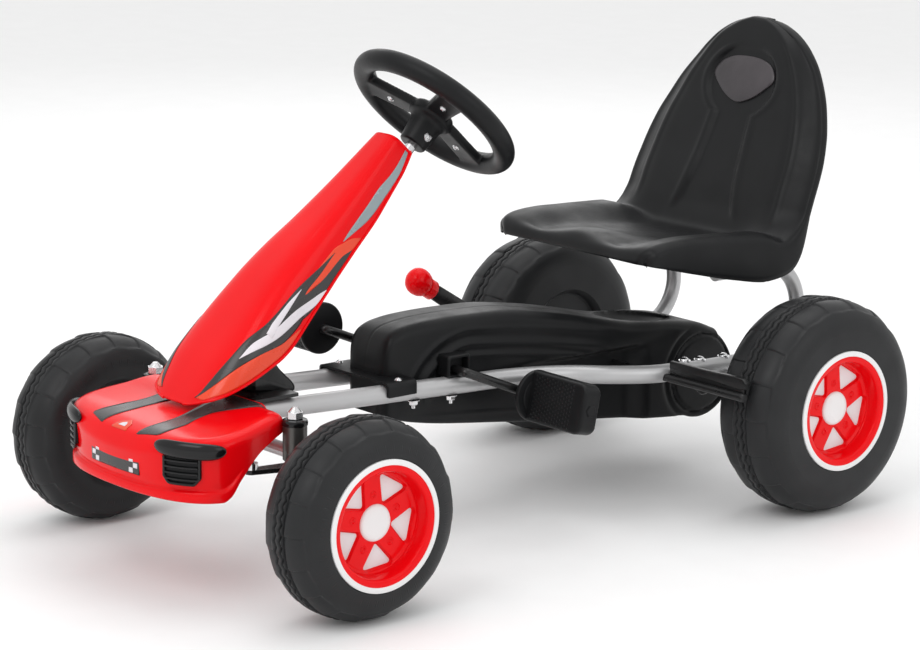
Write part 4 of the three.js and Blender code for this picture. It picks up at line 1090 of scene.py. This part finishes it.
# ---- brake ----
def brake_lever():
    foot = np.array([-BRAKE["lever_x"], BRAKE["y"], BRAKE["z"]], float)
    lever = np.array([0, BRAKE["knob"][0] - BRAKE["y"], BRAKE["knob"][1] - BRAKE["z"]], float)
    length = np.linalg.norm(lever)
    lever /= length
    up = np.cross([1, 0, 0], lever)
    tip = [(length - 30, -10), (length - 24, -9), (length - 24, 9), (length - 30, 10)]
    outline = np.vstack([arc(0, 0, 12, 90, 270, 16), tip])
    rings = []
    for x, shrink in ((-2.5, 0.8), (-2.1, 0.2), (-1.7, 0), (1.7, 0), (2.1, 0.2), (2.5, 0.8)):
        ring = outline * (1 - shrink / 14)
        rings.append(foot + x * X_AXIS + ring[:, :1] * lever + ring[:, 1:] * up)
    Build().tube(rings).piece("brake_arm", "black_steel", "brake", replaces=["brake_lever"], angle=40)
    knob = [(0, 20), (5, 19.4), (10, 17.3), (14, 13.6), (16.4, 8.5), (17, 3), (16.4, -3), (14.6, -8),
        (12.6, -10.6), (11.4, -11.2), (11.4, -12), (12.2, -12.6), (12.2, -23), (11.4, -24), (0, -24)]

    def shape(p):
        """Flattened a little, with a moulding line round the sides."""
        x = p[:, :1] * 0.92 + np.sign(p[:, :1]) * ridge(p[:, 2:], 0, 0.7, 0.5)
        return foot + length * lever + x * X_AXIS + p[:, 1:2] * lever + p[:, 2:] * 1.04 * up

    Build().lathe(knob, axis=(0, 1, 0), segments=56).move(shape).piece(
        "brake_grip", "red", "brake", replaces=["brake_knob"], angle=40)


def brake_bars():
    """Bars across the tyres, each with a rounded end and a web down to the shaft."""
    cap = [(0, 2), (2.5, 2), (4.6, 2), (5.2, 0), (5.2, -3)]
    Build().lathe(cap, (262, BRAKE["y"], BRAKE["z"]), segments=24).pair(
        "brake_shaft_end", "black_steel", "brake")
    for (side, sign), start in zip(SIDES, (134, 189)):
        low = curve([(start, 170.5), (200, 170), (246, 167.5), (262, 169)])
        high = curve([(start, 180), (200, 180.4), (246, 182), (257, 181), (262, 177)])
        rings = []
        for x in np.concatenate([[start], np.linspace(start + 1, 250, 24), np.linspace(252, 262, 12)]):
            a, b = float(low(x)), float(high(x))
            rings.append(at_x(rounded(3.4, (b - a) / 2, 1.6) + [216.4, (a + b) / 2], x))
        bar = Build().tube(rings).block((start, 213.2, 155), (258, 216.2, 173), 0.8)
        bar.lathe([(0, 2), (3.6, 1.8), (5, 0.8), (5.2, 0), (5.2, -5), (0, -5)], (257, 220.2, 174.6),
            (0, 1, 0), 24)
        bar.move(lambda p: p * [sign, 1, 1]).piece(f"brake_bar_{side}", "black_steel", "brake",
                                                   replaces=[f"brake_paddle_{side}"])


def brake_bracket():
    """A bent wire under the left rail."""
    wire = spline([(101, 252, 152), (108, 262, 146), (113, 280, 133), (113, 290, 126), (112, 297, 127),
        (112, 296, 133), (110, 280, 144), (104, 262, 152)], 8)
    Build().sweep(wire, 3.0, sides=12).piece("brake_bracket", "black_steel")


brake_lever()
brake_bars()
brake_bracket()


# ---- steering wheel, in the column's own axes: z up the column, y down and back ----
RING_RADIUS, RING_THICK = 95.6, 12.9


def on_column(p):
    p = np.asarray(p, float)
    return WHEEL_CENTRE + p[:, :1] * X_AXIS - p[:, 1:2] * OUT - p[:, 2:] * DOWN


def steering_wheel():
    section = arc(RING_RADIUS, 0, RING_THICK, 0, 360, 28)[:-1]
    wheel = Build().lathe(section, axis=(0, 0, 1), segments=160, closed=True)
    for angle in (0, 120, 240):
        c, s = math.cos(math.radians(angle)), math.sin(math.radians(angle))
        spoke = Build().block((-15, 12, -9), (15, 88, -5), 1.5)
        spoke.block((-15.5, 12, -9), (-11.5, 88, 2), 1.5).block((11.5, 12, -9), (15.5, 88, 2), 1.5)
        spoke.move(lambda p: np.column_stack([p[:, 0] * (1 + 0.0025 * (p[:, 1] - 40)), p[:, 1], p[:, 2]]))
        wheel.join(spoke.move(lambda p: p @ np.array([[c, s, 0], [-s, c, 0], [0, 0, 1]])))
    hub = [(0, 2), (24, 2), (27, -1), (27, -12), (22, -15), (20, -18), (18.5, -30), (16.5, -47), (15, -48),
        (0, -48)]
    wheel.lathe(hub, axis=(0, 0, 1), segments=64)
    moulded(wheel.move(on_column), "steering_ring", "black", "steering", 1.6, 5, replaces=["steering_wheel"])
    screws = Build()
    for x, y in arc(0, 0, 55, 90, 330, 2):
        screws.join(domed_bolt(on_column([[x, y, -9.0]])[0], DOWN, 0.55))
    screws.join(hex_bolt(on_column([[17.5, 0, -34.0]])[0], (1, 0, 0), 0.62))
    screws.piece("steering_screws", "zinc", "steering")


steering_wheel()


# ---- seat: one skin from the pan's front lip up the back, with its edges turned down ----
SEAT_LINE = [(172, 305), (173.5, 310), (180, 315), (192, 317), (230, 314), (265, 309), (300, 305),
    (335, 301.5), (358, 300), (374, 301), (384, 306), (391, 317), (398, 336), (407, 360), (423, 396),
    (437, 430), (450, 462), (458, 485), (465, 505), (471, 525), (476, 542), (480, 553), (482.5, 558.5)]
PAN_WIDTH = curve([(172, 127), (176, 133), (182, 138), (230, 143), (300, 147), (350, 150), (384, 153),
    (400, 154)])
BACK_WIDTH = curve([(284, 153), (306, 154), (319, 155), (360, 154), (396, 151), (430, 143.5), (462, 130),
                    (485, 117.5), (505, 103), (525, 84.5), (542, 62), (553, 38), (558.5, 15)])
PAN_RIM = curve([(172, 2), (182, 4), (230, 11), (300, 17), (350, 19), (384, 19)])
PAN_LOWER = curve([(172, 301), (182, 299), (230, 287), (300, 271), (350, 263), (384, 262), (400, 266)])
SEAT_EDGE = ((0.06, 1.2), (0.16, 2.0), (0.35, 2.2), (0.6, 2.0), (0.85, 1.6), (1.0, 1.2))  # down, out
SEAT_REAR = 494.6


def pan_rise(y, x, a):
    """A dished pan with raised rims and dips for the legs; a is the fraction of the half width."""
    legs = -6.5 * np.exp(-((np.abs(x) - 76) / 30) ** 2) + 3.5 * np.exp(-(x / 26) ** 2)
    rim = float(PAN_RIM(y)) * step(0.42, 0.86, a)
    return rim + float(step(262, 200, y)) * legs * float(step(172, 186, y)) - 5 * step(0.93, 1.0, a) ** 2


def back_rise(height, x, a, width):
    """A back with its edges rolled back, a sunk channel up its middle and creases beside it."""
    dome = 58 * math.sqrt(max(1 - ((height - 176) / 46) ** 2, 0))
    channel = max(27 + 32 * math.exp(-max(height, 0) / 60) if height < 176 else 0, dome)
    fade = float(step(8, 30, height) * step(223, 210, height))
    groove = ridge(np.abs(x), channel + 5, 4.5, 1.5) - 3.6 * step(channel + 4, channel - 4, np.abs(x))
    crease = ridge(np.abs(x), width * 0.78, 4.0, 2.2) * float(step(8, 40, height) * step(244, 222, height))
    return groove * fade + crease - (15 * step(0.62, 1.0, a) ** 1.7) * min(1, width / 100)


def seat_shell():
    line = resample(spline(SEAT_LINE, 10), 190)
    tangent = unit(np.gradient(line, axis=0))
    normal = np.stack([-tangent[:, 1], tangent[:, 0]], 1)
    knee = int(np.argmin(np.abs(line[:, 0] - 386)))
    cross = np.linspace(-1, 1, 91)
    cross = np.sign(cross) * np.abs(cross) ** 0.85
    a = np.abs(cross)
    rings = []
    for i, ((y, z), n) in enumerate(zip(line, normal)):
        back = float(step(knee - 16, knee + 16, i))
        width = float(PAN_WIDTH(y)) * (1 - back) + float(BACK_WIDTH(z)) * back
        x = cross * width
        rise = pan_rise(y, x, a) * (1 - back) + back_rise(z - 306, x, a, width) * back
        skin = np.stack([x, y + rise * n[0], z + rise * n[1]], 1)
        # turned-down edge
        drop = max(skin[0, 2] - float(PAN_LOWER(y)), 1.0)
        depth = 6 + 8 * (1 - min(1, width / 100))
        away = np.array([0, depth * back, -drop * (1 - back)])
        if 0.02 < back < 0.98:
            away = away + math.sin(back * math.pi) * np.array([0, 9.0, -9.0])
        left = [skin[0] + away * k - out * X_AXIS for k, out in SEAT_EDGE][::-1]
        right = [skin[-1] + away * k + out * X_AXIS for k, out in SEAT_EDGE]
        rings.append(np.vstack([left, skin, right]))
    # front lip turned down, top edge turned back
    front = [rings[0] + [0, 1.2, -3.5], rings[0] + [0, 0.4, -1.5]]
    top = [rings[-1] + move for move in ([0, 3, 0.4], [0, 8, 0.2], [0, 13, -1.0])]
    rings = np.array(front + rings + top)
    rings[:, :, 1] = np.minimum(rings[:, :, 1], SEAT_REAR)
    Build().grid(rings).piece("seat_shell", "black", replaces=["seat"], angle=60, thickness=2.6)


def seat_emblem():
    """A plain mauve inlay at the top of the channel, wide above and narrow below."""
    at, out, rise = np.array([[0, 457.6, 484.0], [0, -0.94, 0.34], [0, 0.34, 0.94]])
    outline = spline([(0, 31), (26, 28.5), (44, 20), (52, 5), (40, -9), (20, -23), (0, -29), (-20, -23),
        (-40, -9), (-52, 5), (-44, 20), (-26, 28.5)], 8, closed=True)
    levels = ((1.0, -2), (1.0, 0.6), (0.985, 1.2), (0.9, 1.9), (0.7, 2.6), (0.45, 3.0), (0.2, 3.2),
        (0.02, 3.2))
    Build().tube([at + outline[:, :1] * size * X_AXIS + outline[:, 1:] * size * rise + lift * out
                  for size, lift in levels]).piece("seat_emblem", "emblem")


def seat_feet():
    """Feet under the pan over the seat rails, and the pins beside them."""
    feet, pins = Build(), Build()
    for y0, y1 in ((312, 332), (358, 376)):
        feet.block((SEAT_RAIL_X - 12, y0, 281.4), (SEAT_RAIL_X + 12, y1, 304), 2)
    feet.pair("seat_feet", "black")
    for y in (262, 300):
        pins.join(domed_bolt((128, y, 281 - 0.15 * (y - 262)), (0, 0, -1), 0.5, washer=False))
    pins.pair("seat_pins", "black_steel")


seat_shell()
seat_emblem()
seat_feet()
